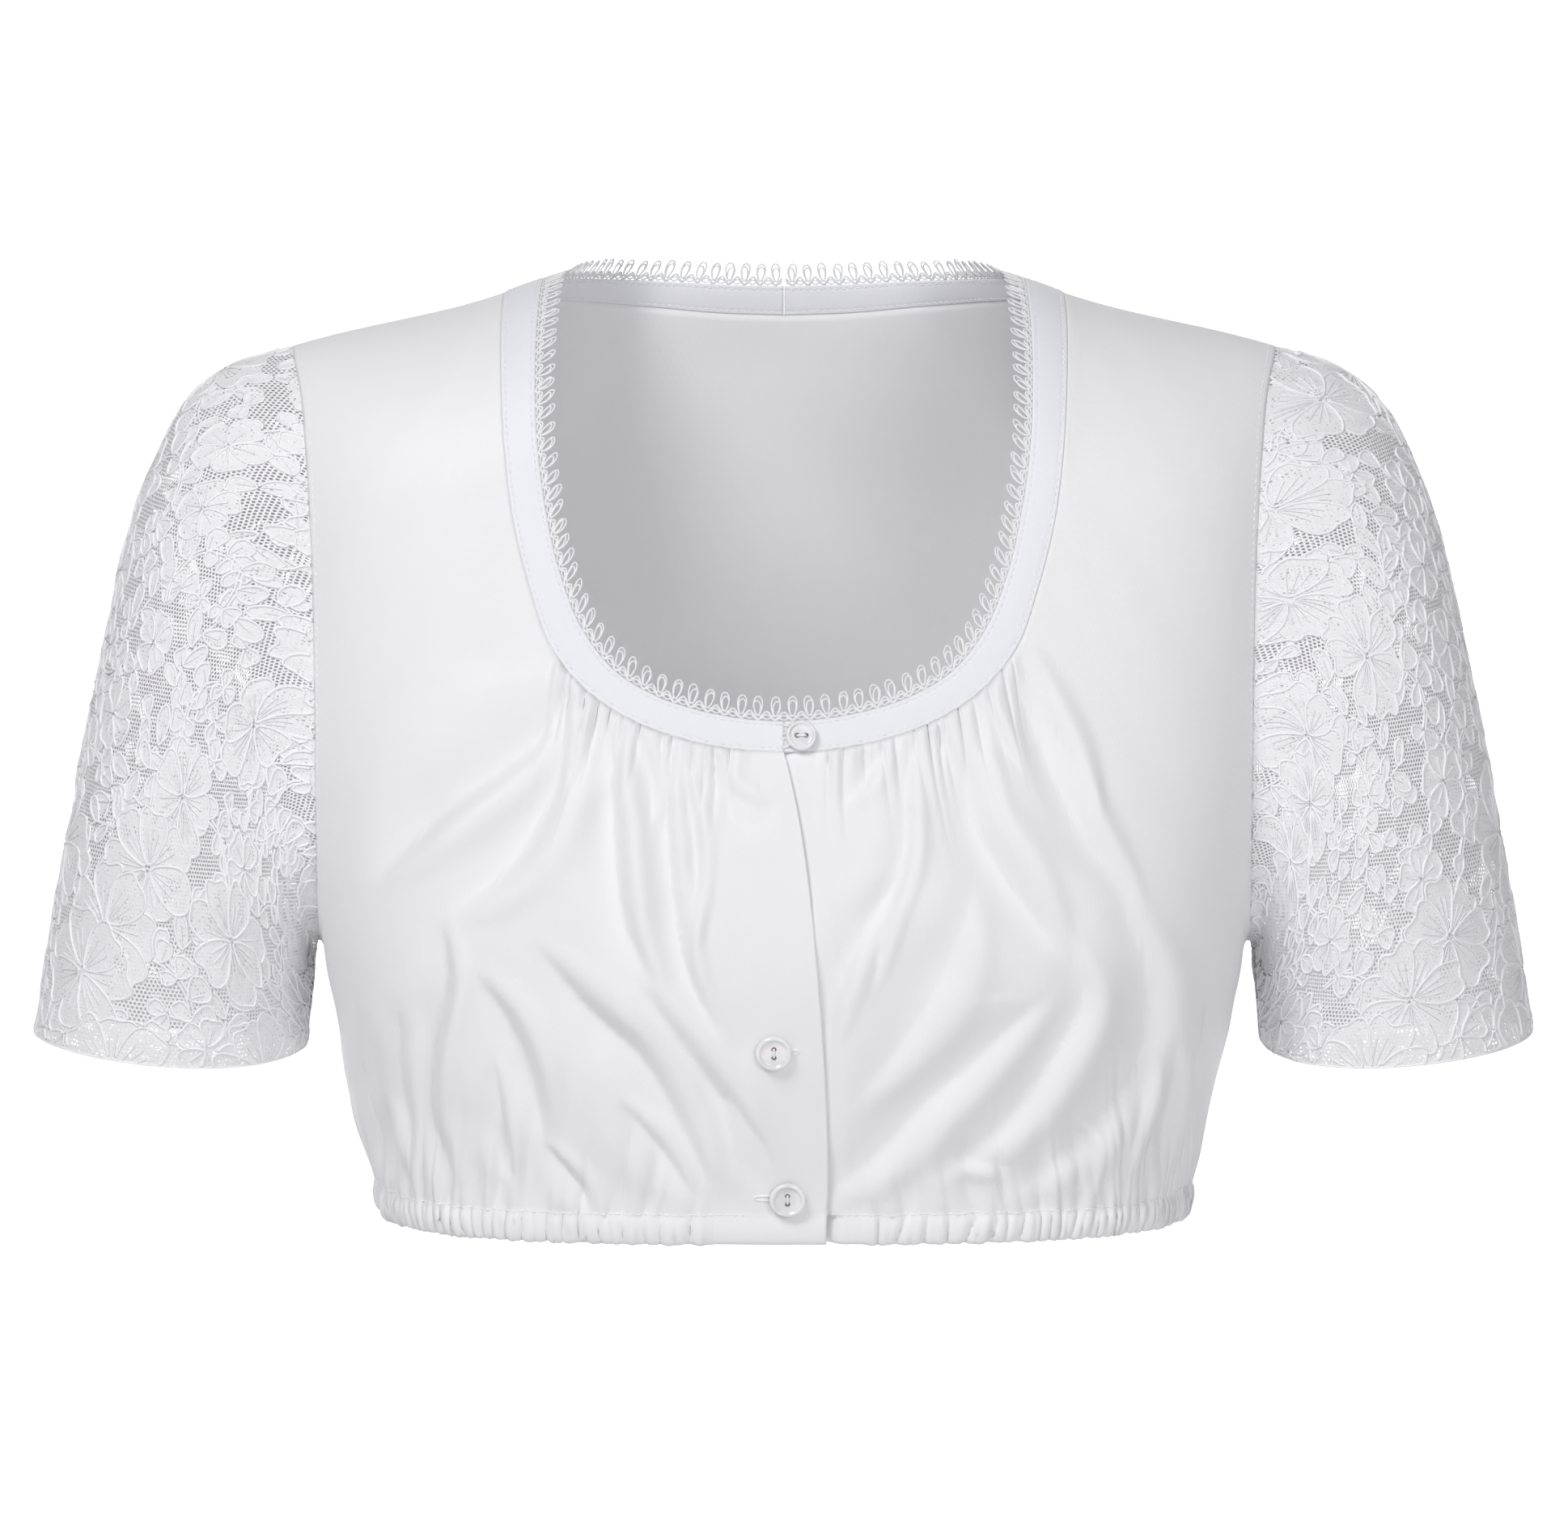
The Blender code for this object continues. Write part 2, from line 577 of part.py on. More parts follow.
def seamed(rows, face, loop, side, away):
    """Keeps a panel clear of its neighbours at every seam and gives its walls."""
    front = face == "front"
    sign = -1 if front else 1
    walls = []
    first_high = len(rows) - len(ROWS_HIGH)
    for number, (middle, normal, thick, share) in enumerate(rows):
        middle, normal = middle.copy(), normal.copy()
        last = number == len(rows) - 1
        ends = [-1] if front else [0, -1]
        if last:
            middle = middle - away * HALF_GAP
            seam = np.abs(middle[:, 0]) > NECK_POINT - 1.0
            normal[seam, 1] = 0
            normal = unit(normal)
        for end in ends:
            if number < first_high:
                normal[end, 1] = 0
                normal = unit(normal)
            else:
                i = number - first_high
                k = i if front else (len(loop["line"]) - i) % len(loop["line"])
                mirror = np.array([-1.0, 1, 1]) if end == 0 else np.ones(3)
                middle[end] = (loop["line"][k] - loop["into"][k]) * mirror
                normal[end] = loop["seam"][k] * mirror
        middle[:, 1] = sign * np.maximum(sign * middle[:, 1], HALF_GAP)
        thick = thick * np.ones(len(middle))
        outer = middle + normal * thick[:, None] / 2
        inner = middle - normal * thick[:, None] / 2
        for skin in (outer, inner):
            skin[:, 1] = sign * np.maximum(sign * skin[:, 1], HALF_GAP)
            skin[:, 0] *= side
        walls.append((outer, inner, share))
    return walls


def sleeve_points(line, rings=SLEEVE_RINGS):
    """Rings of the wearer's left sleeve, from the armhole line to the cuff."""
    along = np.array(rings)
    row_out = np.concatenate([[0], np.cumsum(np.hypot(np.diff(SLEEVE_OUTER["out"]),
                                                      np.diff(SLEEVE_OUTER["height"])))])
    row_in = np.concatenate([[0], np.cumsum(np.hypot(np.diff(SLEEVE_INNER["out"]),
                                                     np.diff(SLEEVE_INNER["height"])))])
    outer = np.stack([smooth(row_out, SLEEVE_OUTER[c], along * row_out[-1]) for c in ("out", "height")], -1)
    inner = np.stack([smooth(row_in, SLEEVE_INNER[c], along * row_in[-1]) for c in ("out", "height")], -1)
    top = int(np.argmax(line[:, 2]))
    length = measured(np.concatenate([line, line[:1]]))
    turn = np.where(np.arange(len(line)) <= top, math.pi * length[:-1] / length[top],
                    math.pi + math.pi * (length[:-1] - length[top]) / (length[-1] - length[top]))
    depth = smooth(SLEEVE_DEPTH["share"], SLEEVE_DEPTH["depth"], along)
    result = []
    for i in range(len(along)):
        middle, half = (outer[i] + inner[i]) / 2, (outer[i] - inner[i]) / 2
        flat = middle[None] - half[None] * np.cos(turn)[:, None]
        dip = CUFF_DIP * np.abs(np.sin(turn)) * (1 + 0.35 * np.cos(turn)) * along[i] ** 3
        ring = np.stack([flat[:, 0], -depth[i] * np.sin(turn), flat[:, 1] - dip], -1)
        result.append(ring)
    shift = line - result[0]
    for i in range(len(along)):
        result[i] = result[i] + shift * (1 - ease(along[i] / 0.7))
    return np.array(result)


def sleeve_panel(loop, side):
    """Rings of a sleeve with their walls."""
    rings = loop["sleeve"]
    around = np.roll(rings, -1, axis=1) - np.roll(rings, 1, axis=1)
    down = np.gradient(rings, axis=0)
    normals = unit(np.cross(down, around))
    walls = []
    for i, ring in enumerate(rings):
        normal = loop["seam"] if i == 0 else normals[i]
        middle = loop["line"] + loop["into"] if i == 0 else ring
        skins = middle + normal * LACE / 2, middle - normal * LACE / 2
        walls.append([skin * np.array([side, 1.0, 1.0]) for skin in skins] + [np.arange(len(ring) + 1)])
    return walls


def band_lines(piece):
    """Lower and upper edge of half the neck band, centre front to centre back, at the columns
    of the front and the back that it is sewn to, with the form's direction at each."""
    columns = columns_of(piece)
    share_along = front_sharing(piece)
    neck_length = share_along[1][-2]
    columns = columns[np.interp(columns, *share_along) < neck_length - 1e-6]
    front_share = np.append(np.interp(columns, *share_along) / neck_length, 1.0)
    steps = int(round(BACK_GATHERS * BACK_NECK_SHARE / 2))
    back_share = np.linspace(1, 0, steps + 1)[1:]
    lines = []
    for which in (0, 1):
        parts = []
        for face, share in (("front", front_share), ("back", back_share)):
            edge = neck_edges(face)[which]
            place = edge.at(share * edge.length)
            parts.append(np.concatenate([form_point(*place, face), form_normal(*place, face)], axis=1))
        parts[0][-1, 4] = 0
        both = np.concatenate(parts)
        lines += [both[:, :3], both[:, 3:]]
    return lines


def band_frame(edge, normal, across):
    """Outward direction along an edge of the band, square to the edge and to the band."""
    tangent = np.gradient(edge, axis=0)
    tangent[[0, -1]] *= np.array([1.0, 0, 0])
    out = np.cross(tangent, np.cross(normal, tangent))
    return unit(unit(out) - across * np.sum(unit(out) * across, axis=1, keepdims=True))


def resampled(values, along, count):
    """Points of a line read at even lengths along it."""
    want = np.linspace(0, along[-1], count)
    return np.stack([np.interp(want, along, values[:, i]) for i in range(3)], -1)


def strip_walls(lines, outs, thick, side):
    """Walls of a narrow strip from lines of points along it, kept clear of the middle."""
    walls = []
    for line, out in zip(lines, outs):
        skins = [line + out * thick / 2, line - out * thick / 2]
        for skin in skins:
            skin[:, 0] = np.maximum(skin[:, 0], HALF_GAP) * side
        walls.append(skins + [np.arange(len(line))])
    return walls


def neck_band(piece):
    low, low_normal, high, high_normal = band_lines(piece)
    across = unit(high - low)
    outs = [band_frame(low, low_normal, across), band_frame(high, high_normal, across)]
    return strip_walls([low + across * HALF_GAP, high - across * HALF_GAP], outs, BAND, piece["side"])


def neck_lace(piece):
    """A narrow strip with its upper edge drawn out into small loops."""
    low, _, high, normal = band_lines(piece)
    along = measured(high)
    count = 2 * PICOTS + 1
    low, normal, high = [resampled(part, along, count) for part in (low, normal, high)]
    across = unit(high - low)
    out = band_frame(high, normal, across)
    tip = np.where(np.arange(count) % 2 == 1, PICOT_TOP, PICOT_VALLEY)[:, None]
    return strip_walls([high + across * HALF_GAP, high + across * tip], [out, out], EDGING, piece["side"])


# Blender objects

def material(name):
    colour, roughness = COLOURS[name]
    made = bpy.data.materials.get(name)
    if made is None:
        made = bpy.data.materials.new(name)
        made.use_nodes = True
        shader = made.node_tree.nodes["Principled BSDF"]
        shader.inputs["Base Color"].default_value = (*colour, 1)
        shader.inputs["Roughness"].default_value = roughness
    return made


def add_object(name, bm, finish):
    bmesh.ops.recalc_face_normals(bm, faces=bm.faces[:])
    mesh = bpy.data.meshes.new(name)
    bm.to_mesh(mesh)
    bm.free()
    mesh.shade_smooth()
    mesh.set_sharp_from_angle(angle=math.radians(50))
    mesh.materials.append(material(finish))
    made = bpy.data.objects.new(name, mesh)
    bpy.context.collection.objects.link(made)
    return made


def stitch(bm, first, second, closed=False, first_share=(0, 1), second_share=(0, 1)):
    """Faces between two rows that may have different numbers of points."""
    if closed:
        first, second = first + first[:1], second + second[:1]
    i = j = 0
    while i < len(first) - 1 or j < len(second) - 1:
        if i == len(first) - 1 or j == len(second) - 1:
            take_first = j == len(second) - 1
        elif abs(first_share[i + 1] - second_share[j + 1]) < 1e-9:
            take_first = (first[i + 1].co - second[j].co).length <= (first[i].co - second[j + 1].co).length
        else:
            take_first = first_share[i + 1] < second_share[j + 1]
        if take_first:
            bm.faces.new((first[i], first[i + 1], second[j]))
            i += 1
        else:
            bm.faces.new((first[i], second[j + 1], second[j]))
            j += 1


def cloth_object(name, walls, finish, closed=False):
    """One closed wall from rows of outer and inner points."""
    bm = bmesh.new()
    rows = [[[bm.verts.new(point * MM) for point in skin] for skin in wall[:2]] + [wall[2]] for wall in walls]
    for below, above in zip(rows, rows[1:]):
        for skin in (0, 1):
            stitch(bm, below[skin], above[skin], closed, below[2], above[2])
        if not closed:
            for end in (0, -1):
                stitch(bm, [below[0][end], above[0][end]], [below[1][end], above[1][end]])
    for row in (rows[0], rows[-1]):
        stitch(bm, row[0], row[1], closed, row[2], row[2])
    return add_object(name, bm, finish)


def button(name, sizes):
    """A turned disc with a raised rim and two holes, standing on the cloth."""
    angle, level = form_place(np.array(sizes["out"]), np.array(sizes["height"]))
    foot = form_point(angle, level, "front")
    normal = form_normal(angle, level, "front")
    foot = foot + normal * (sizes["on"] / 2 + sizes["lift"])
    across = unit(np.cross(np.array([0, 0, 1.0]), normal))
    upward = np.cross(normal, across)
    bm = bmesh.new()
    turns = np.linspace(0, 2 * math.pi, BUTTON_SIDES, endpoint=False)
    rings = []
    for share, height in zip(BUTTON_PROFILE["share"], BUTTON_PROFILE["height"]):
        if share == 0:
            rings.append([bm.verts.new((0, 0, height * MM))])
            continue
        radius = share * sizes["radius"] * MM
        rings.append([bm.verts.new((radius * math.cos(t), radius * math.sin(t), height * MM)) for t in turns])
    for lower, upper in zip(rings, rings[1:]):
        for i in range(BUTTON_SIDES):
            k = (i + 1) % BUTTON_SIDES
            ends = [lower[i % len(lower)], lower[k % len(lower)], upper[k % len(upper)], upper[i % len(upper)]]
            bm.faces.new(list(dict.fromkeys(ends)))
    made = add_object(name, bm, "pearl")
    cutter_mesh = bmesh.new()
    for way in (-1, 1):
        drilled = bmesh.ops.create_cone(cutter_mesh, cap_ends=True, segments=8, radius1=HOLE_RADIUS * MM,
                                        radius2=HOLE_RADIUS * MM, depth=8 * MM)
        bmesh.ops.translate(cutter_mesh, verts=drilled["verts"], vec=(way * HOLE_OUT * MM, 0, 0))
    cutter = add_object(name + "_holes", cutter_mesh, "pearl")
    cutter.hide_render = True
    cutter.display_type = "WIRE"
    turn = math.radians(sizes["turn"])
    side_way = across * math.cos(turn) + upward * math.sin(turn)
    up_way = upward * math.cos(turn) - across * math.sin(turn)
    for placed in (made, cutter):
        placed.matrix_world = Matrix([(side_way[i], up_way[i], normal[i], foot[i] * MM) for i in range(3)]
                                     + [(0, 0, 0, 1)])
    cut = made.modifiers.new("holes", "BOOLEAN")
    cut.operation = "DIFFERENCE"
    cut.solver = "EXACT"
    cut.object = cutter
    return made


def main():
    for old in list(bpy.data.objects):
        bpy.data.objects.remove(old)
    loop = armhole_loop()
    for name, piece in FRONTS.items():
        cloth_object(name, front_panel(piece, name, loop), "satin")
    cloth_object("back", back_panel(loop), "satin")
    for side in ("right", "left"):
        piece = FRONTS["front_" + side]
        cloth_object("sleeve_" + side, sleeve_panel(loop, piece["side"]), "lace", closed=True)
        cloth_object("neck_band_" + side, neck_band(piece), "band")
        cloth_object("neck_lace_" + side, neck_lace(piece), "lace")
    for name, sizes in BUTTONS.items():
        button(name, sizes)


main()
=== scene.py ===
# Looks of a cropped dirndl blouse: white cotton satin fronts and back gathered on a narrow
# neck band with picot lace, short sleeves of corded flower lace, three pearl buttons.
# Everything is worked out in millimetres and put into the meshes in metres.
import math

import bmesh
import bpy
import numpy as np
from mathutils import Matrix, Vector


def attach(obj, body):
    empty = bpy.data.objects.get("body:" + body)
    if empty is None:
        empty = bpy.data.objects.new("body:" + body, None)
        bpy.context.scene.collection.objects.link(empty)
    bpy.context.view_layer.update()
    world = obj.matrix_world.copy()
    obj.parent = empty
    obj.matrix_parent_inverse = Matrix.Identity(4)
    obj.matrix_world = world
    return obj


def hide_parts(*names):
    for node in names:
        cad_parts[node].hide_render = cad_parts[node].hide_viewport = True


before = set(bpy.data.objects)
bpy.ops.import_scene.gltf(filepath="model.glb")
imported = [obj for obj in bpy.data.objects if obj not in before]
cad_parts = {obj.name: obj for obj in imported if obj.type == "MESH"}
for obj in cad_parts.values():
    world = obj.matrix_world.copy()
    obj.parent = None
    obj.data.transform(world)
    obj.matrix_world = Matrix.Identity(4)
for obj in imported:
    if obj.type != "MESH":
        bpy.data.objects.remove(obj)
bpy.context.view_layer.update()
print("frame loaded")

# camera at the photograph's angle, a pale sweep and soft studio light
studio = {
    "distance": 1800.0,       # camera to the middle of the blouse
    "elevation": 4.0,         # degrees above it
    "aimHeight": -162.0,
    "widthAcross": 562.0,     # what the frame shows at that distance
    "sensor": 36.0,
    "floorHeight": -620.0,
    "sweepColour": "#f4f4f4",
    "skyColour": "#fbfbff",
    "skyStrength": 0.27,
    # the sweep: where it starts and turns up, its radius, height and half width
    "sweep": {"front": -4000, "turn": 1600, "radius": 900.0, "height": 4000, "halfWidth": 5000},
    # place, aim, size and power of each light
    "lights": {
        "keyLight": ((-920, -1440, 1300), (0, 0, -162), 950, 22.5),
        "frontLight": ((750, -1850, 300), (0, 0, -100), 900, 10.0),
        "backdropLeft": ((-1100, 900, 300), (-200, 2400, 0), 900, 20.0),
        "backdropRight": ((1100, 900, 300), (200, 2400, 0), 900, 20.0),
    },
}


def metres(values):
    return np.asarray(values, float) * 0.001


def linear(hexColour):
    # sRGB hex to linear: the straight part below 0.04045, the power part above it
    parts = np.array([int(hexColour[i:i + 2], 16) for i in (1, 3, 5)]) / 255
    light = np.where(parts <= 0.04045, parts / 12.92, ((parts + 0.055) / 1.055) ** 2.4)
    return (*light.tolist(), 1.0)


def aimed(made, place, target):
    made.location = metres(place)
    way = Vector(metres(target) - metres(place))
    made.rotation_euler = way.to_track_quat("-Z", "Y").to_euler()


def addCamera(s):
    lens = bpy.data.cameras.new("photoCamera")
    lens.sensor_width = s["sensor"]
    lens.lens = s["sensor"] * s["distance"] / s["widthAcross"]
    lens.clip_end = 20
    made = bpy.data.objects.new("photoCamera", lens)
    bpy.context.collection.objects.link(made)
    up = math.radians(s["elevation"])
    place = (0, -s["distance"] * math.cos(up), s["aimHeight"] + s["distance"] * math.sin(up))
    aimed(made, place, (0, 0, s["aimHeight"]))
    bpy.context.scene.camera = made


def addLights(s):
    for name, (place, target, size, power) in s["lights"].items():
        lamp = bpy.data.lights.new(name, "AREA")
        lamp.shape = "DISK"
        lamp.size = size * 0.001
        lamp.energy = power
        made = bpy.data.objects.new(name, lamp)
        bpy.context.collection.objects.link(made)
        aimed(made, place, target)
    world = bpy.data.worlds.new("studioSky")
    world.use_nodes = True
    sky = world.node_tree.nodes["Background"]
    sky.inputs["Color"].default_value = linear(s["skyColour"])
    sky.inputs["Strength"].default_value = s["skyStrength"]
    bpy.context.scene.world = world


addCamera(studio)
addLights(studio)
bpy.context.scene.view_settings.view_transform = "Standard"


# node and mesh helpers

def setInputs(tree, node, inputs):
    # each input is linked from a socket or takes a plain value
    for key, value in inputs.items():
        if isinstance(value, bpy.types.NodeSocket):
            tree.links.new(value, node.inputs[key])
        else:
            node.inputs[key].default_value = value


def addNode(tree, kind, inputs, output=0, **settings):
    # a shader node with its own settings and inputs; gives back one of its outputs
    node = tree.nodes.new("ShaderNode" + kind)
    for name, value in settings.items():
        setattr(node, name, value)
    setInputs(tree, node, inputs)
    return node.outputs[output]


def newMaterial(name, colour, roughness, **shaderValues):
    made = bpy.data.materials.new(name)
    made.use_nodes = True
    tree = made.node_tree
    shader = tree.nodes["Principled BSDF"]
    values = {key.replace("_", " "): value for key, value in shaderValues.items()}
    setInputs(tree, shader, {"Base Color": linear(colour), "Roughness": roughness, **values})
    return made, tree, shader


def gridFaces(rows, columns, closedColumns=False, closedRows=False):
    # quads of a grid whose points are numbered row by row
    i = np.arange(rows if closedRows else rows - 1)[:, None]
    j = np.arange(columns if closedColumns else columns - 1)[None, :]
    below, above = i * columns, (i + 1) % rows * columns
    right = (j + 1) % columns
    return np.stack([below + j, below + right, above + right, above + j], -1).reshape(-1, 4)


def makePiece(name, points, faces, material, uv=None, fill=None, flip=False):
    # a mesh in metres from points in millimetres and an array of quads; uv and fill go to face corners
    if flip:
        faces = faces[:, ::-1]
        uv = uv.reshape(-1, 4, 2)[:, ::-1].reshape(-1, 2) if uv is not None else None
        fill = fill.reshape(-1, 4)[:, ::-1].reshape(-1) if fill is not None else None
    mesh = bpy.data.meshes.new(name)
    mesh.vertices.add(len(points))
    mesh.vertices.foreach_set("co", metres(points).astype(np.float32).ravel())
    mesh.loops.add(faces.size)
    mesh.loops.foreach_set("vertex_index", faces.ravel().astype(np.int32))
    mesh.polygons.add(len(faces))
    mesh.polygons.foreach_set("loop_start", np.arange(0, faces.size, 4, dtype=np.int32))
    mesh.update(calc_edges=True)
    if uv is not None:
        layer = mesh.uv_layers.new(name="clothUv")
        layer.data.foreach_set("uv", metres(uv).astype(np.float32).ravel())
    if fill is not None:
        layer = mesh.attributes.new("fill", "FLOAT", "CORNER")
        layer.data.foreach_set("value", fill.astype(np.float32).ravel())
    mesh.validate()
    mesh.shade_smooth()
    mesh.materials.append(material)
    made = bpy.data.objects.new(name, mesh)
    bpy.context.collection.objects.link(made)
    return made


def dress(made, slotName, *nodes):
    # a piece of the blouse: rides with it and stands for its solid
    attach(made, "root")
    if nodes:
        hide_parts(*nodes)
    return made


def joined(parts):
    # several (points, faces) as one
    starts = np.cumsum([0] + [len(points) for points, _ in parts])
    faces = [some + start for (_, some), start in zip(parts, starts)]
    return np.concatenate([points for points, _ in parts]), np.concatenate(faces)


# maths on lines and tables

def tableOf(columns, rows):
    return {name: np.array([row[i] for row in rows], float) for i, name in enumerate(columns)}


def smoothLine(xs, ys, x):
    # cubic pieces through the rows of a table with even slopes, straight on past its ends
    if xs[0] > xs[-1]:
        xs, ys = xs[::-1], ys[::-1]
    x = np.asarray(x, float)
    slopes = np.gradient(ys, xs)
    i = np.clip(np.searchsorted(xs, x) - 1, 0, len(xs) - 2)
    span = xs[i + 1] - xs[i]
    t = np.clip((x - xs[i]) / span, 0, 1)
    curve = ((1 + 2 * t) * (1 - t) ** 2 * ys[i] + t * (1 - t) ** 2 * span * slopes[i]
             + t * t * (3 - 2 * t) * ys[i + 1] + t * t * (t - 1) * span * slopes[i + 1])
    before = np.where(x < xs[0], (x - xs[0]) * slopes[0], 0)
    return curve + before + np.where(x > xs[-1], (x - xs[-1]) * slopes[-1], 0)


def ease(x):
    x = np.clip(x, 0, 1)
    return x * x * (3 - 2 * x)


def unit(vectors):
    return vectors / np.maximum(np.linalg.norm(vectors, axis=-1, keepdims=True), 1e-9)


def lengthsAlong(points):
    steps = np.linalg.norm(np.diff(points, axis=0), axis=1)
    return np.concatenate([[0], np.cumsum(steps)])


def readLine(want, along, values):
    # each column of a line's values at the wanted lengths
    return np.stack([np.interp(want, along, column) for column in values.T], -1)


def evenly(points, step):
    # the same line read at even steps
    along = lengthsAlong(points)
    count = max(2, int(round(along[-1] / step)) + 1)
    return readLine(np.linspace(0, along[-1], count), along, points)


def arcLengths(points, axis):
    # length along each column or row of a grid of points
    steps = np.diff(points, axis=axis, prepend=points.take([0], axis=axis))
    return np.cumsum(np.linalg.norm(steps, axis=-1), axis=axis)


def fullTurn(count):
    return np.linspace(0, 2 * math.pi, count, endpoint=False)


def bent(points, count):
    # a smooth line through a few listed points
    points = np.array(points, float)
    along = lengthsAlong(points)
    want = np.linspace(0, along[-1], count)
    return np.stack([smoothLine(along, points[:, k], want) for k in range(points.shape[1])], -1)


def gridNormals(points, closed=False):
    # across the rows times up the columns
    if closed:
        around = np.roll(points, -1, axis=1) - np.roll(points, 1, axis=1)
    else:
        around = np.gradient(points, axis=1)
    return unit(np.cross(around, np.gradient(points, axis=0)))


# the worn form of the blouse, the same numbers as its solids

form = {
    "hem": -318.4,
    "hemDepth": 9.0,
    "underarm": -222.6,
    "neckFront": -149.0,
    "arch": 65.0,
    "square": 0.05,
    "neckPoint": 99.0,
    "shoulderTip": 174.6,
    "sections": tableOf(("level", "halfWidth", "front", "back"), [
        (-322, 142.0, 91.5, 76), (-305, 146.3, 94.0, 77), (-279, 152.3, 101.0, 80), (-250, 159.2, 108.5, 84),
        (-222, 165.5, 112.5, 88), (-200, 168.6, 111.5, 90), (-168, 172.4, 105.5, 93), (-130, 175.8, 95.5, 94),
        (-100, 178.2, 89.0, 93), (-60, 183.5, 80.0, 90), (-20, 189.5, 72.0, 80), (14, 193.2, 66.0, 69),
        (60, 196.0, 62.0, 66), (120, 196.0, 60.0, 66)]),
    "shoulder": tableOf(("out", "height"), [
        (0, 85.0), (45, 70.0), (62, 47.0), (74, 26.0), (85.4, 13.3), (99, 8.4), (174.6, -10.6),
        (200, -19.0)]),
    "bandLowfront": tableOf(("out", "height"), [
        (0, -149.0), (16, -148.2), (34, -144.8), (52, -138.3), (68.3, -127.5), (79.4, -113.9),
        (86.5, -94.8), (92.3, -72.9), (95.8, -48.1), (97.7, -23.0), (98.8, -2.0), (99, 8.4)]),
    "bandLowback": tableOf(("out", "height"), [
        (99, 8.4), (95.5, 7.6), (86, 6.9), (70, 6.4), (50, 5.0), (25, 2.8), (0, 1.9)]),
    "bandTopfront": tableOf(("out", "height"), [
        (0, -138.7), (12, -138.0), (28, -135.2), (43, -130.4), (57.3, -121.9), (68.3, -108.3),
        (76.2, -89.2), (81.2, -68.0), (84.3, -46.0), (85.6, -23.1), (85.8, -3.2), (85.4, 13.3)]),
    "bandTopback": tableOf(("out", "height"), [
        (85.4, 13.3), (82.3, 14.0), (76, 14.4), (64, 14.7), (46, 14.4), (23, 13.2), (0, 12.6)]),
    "armhole": tableOf(("out", "height"), [
        (165.5, -222.6), (164.6, -216.5), (163.6, -200.0), (163.1, -180.0), (163.1, -158.0),
        (163.3, -129.6), (163.7, -101.5), (164.6, -73.4), (166.5, -48.3), (169.8, -25.7), (174.6, -10.6)]),
    "lapEdge": tableOf(("height", "over"), [
        (-322, 13.2), (-308, 14.8), (-279, 15.0), (-250, 13.5), (-222, 11.3), (-195, 8.6),
        (-168, 4.5), (-149, 0.2)]),
}
hemTop = form["hem"] + form["hemDepth"]


def section(angle):
    # a slightly square oval: sine and cosine with a little of their third harmonics
    k = form["square"]
    across = (np.sin(angle) + k * np.sin(3 * angle)) / (1 - k)
    deep = (np.cos(angle) - k * np.cos(3 * angle)) / (1 - k)
    return across, deep


angleSteps = np.linspace(0, math.pi / 2, 721)
acrossSteps = section(angleSteps)[0]


def turnLevel(x):
    return smoothLine(form["shoulder"]["out"], form["shoulder"]["height"], np.abs(x)) - form["arch"]


def atLevel(column, level):
    # half width or depth of the body
    return smoothLine(form["sections"]["level"], form["sections"][column], level)


def formPoint(angle, level, face):
    # half width times the section; near the shoulder line the level goes on round an arch
    across, deep = section(angle)
    x = atLevel("halfWidth", level) * across
    turn = turnLevel(x)
    arch = np.clip((level - turn) / form["arch"], 0, math.pi / 2)
    z = np.where(arch > 0, turn + form["arch"] * np.sin(arch), level)
    y = atLevel(face, level) * deep * np.cos(arch)
    return np.stack([x, -y if face == "front" else y, z], axis=-1)


def formPlace(x, z):
    # angle and level of a point of the front view
    turn = turnLevel(x)
    rise = np.clip((z - turn) / form["arch"], 0, 1)
    level = np.where(z > turn, turn + form["arch"] * np.arcsin(rise), z)
    share = np.abs(x) / atLevel("halfWidth", level)
    return np.sign(x) * np.interp(np.clip(share, 0, 1), acrossSteps, angleSteps), level


def formNormal(angle, level, face):
    ahead = formPoint(angle + 0.004, level, face) - formPoint(angle - 0.004, level, face)
    up = formPoint(angle, level + 1, face) - formPoint(angle, level - 1, face)
    normal = unit(np.cross(ahead, up))
    return normal if face == "front" else -normal


def onFront(x, z):
    # the front's point and outward direction at a place of the front view
    angle, level = formPlace(x, z)
    return formPoint(angle, level, "front"), formNormal(angle, level, "front")


def edgeOf(outline, face, count=200):
    # an edge of the front view on the form: angles, levels and length at each of them
    steps = np.hypot(np.diff(outline["out"]), np.diff(outline["height"]))
    row = np.concatenate([[0], np.cumsum(steps)]) / steps.sum()
    stations = np.linspace(0, 1, count)
    out, height = (smoothLine(row, outline[key], stations) for key in ("out", "height"))
    return measuredEdge(*formPlace(out, height), face)


def measuredEdge(angle, level, face):
    return {"angle": angle, "level": level, "along": lengthsAlong(formPoint(angle, level, face))}


def readEdge(edge, share):
    along = np.asarray(share) * edge["along"][-1]
    return np.interp(along, edge["along"], edge["angle"]), np.interp(along, edge["along"], edge["level"])


def neckEdge(which, face):
    # from the middle outwards on both faces
    outline = form["band" + which + face]
    if face == "back":
        outline = {key: value[::-1] for key, value in outline.items()}
    return edgeOf(outline, face)


def topEdge(face):
    # neck band seam, then shoulder seam; also the share of it that is neck
    neck = neckEdge("Low", face)
    out = np.linspace(form["neckPoint"], form["shoulderTip"], 80)
    level = turnLevel(out) + form["arch"] * math.pi / 2
    share = out / atLevel("halfWidth", level)
    angle = np.interp(share, acrossSteps, angleSteps)
    whole = measuredEdge(np.append(neck["angle"], angle[1:]), np.append(neck["level"], level[1:]), face)
    return whole, neck["along"][-1]


def lapOver(level):
    # how far the right front reaches past the middle
    return smoothLine(form["lapEdge"]["height"], form["lapEdge"]["over"], level)


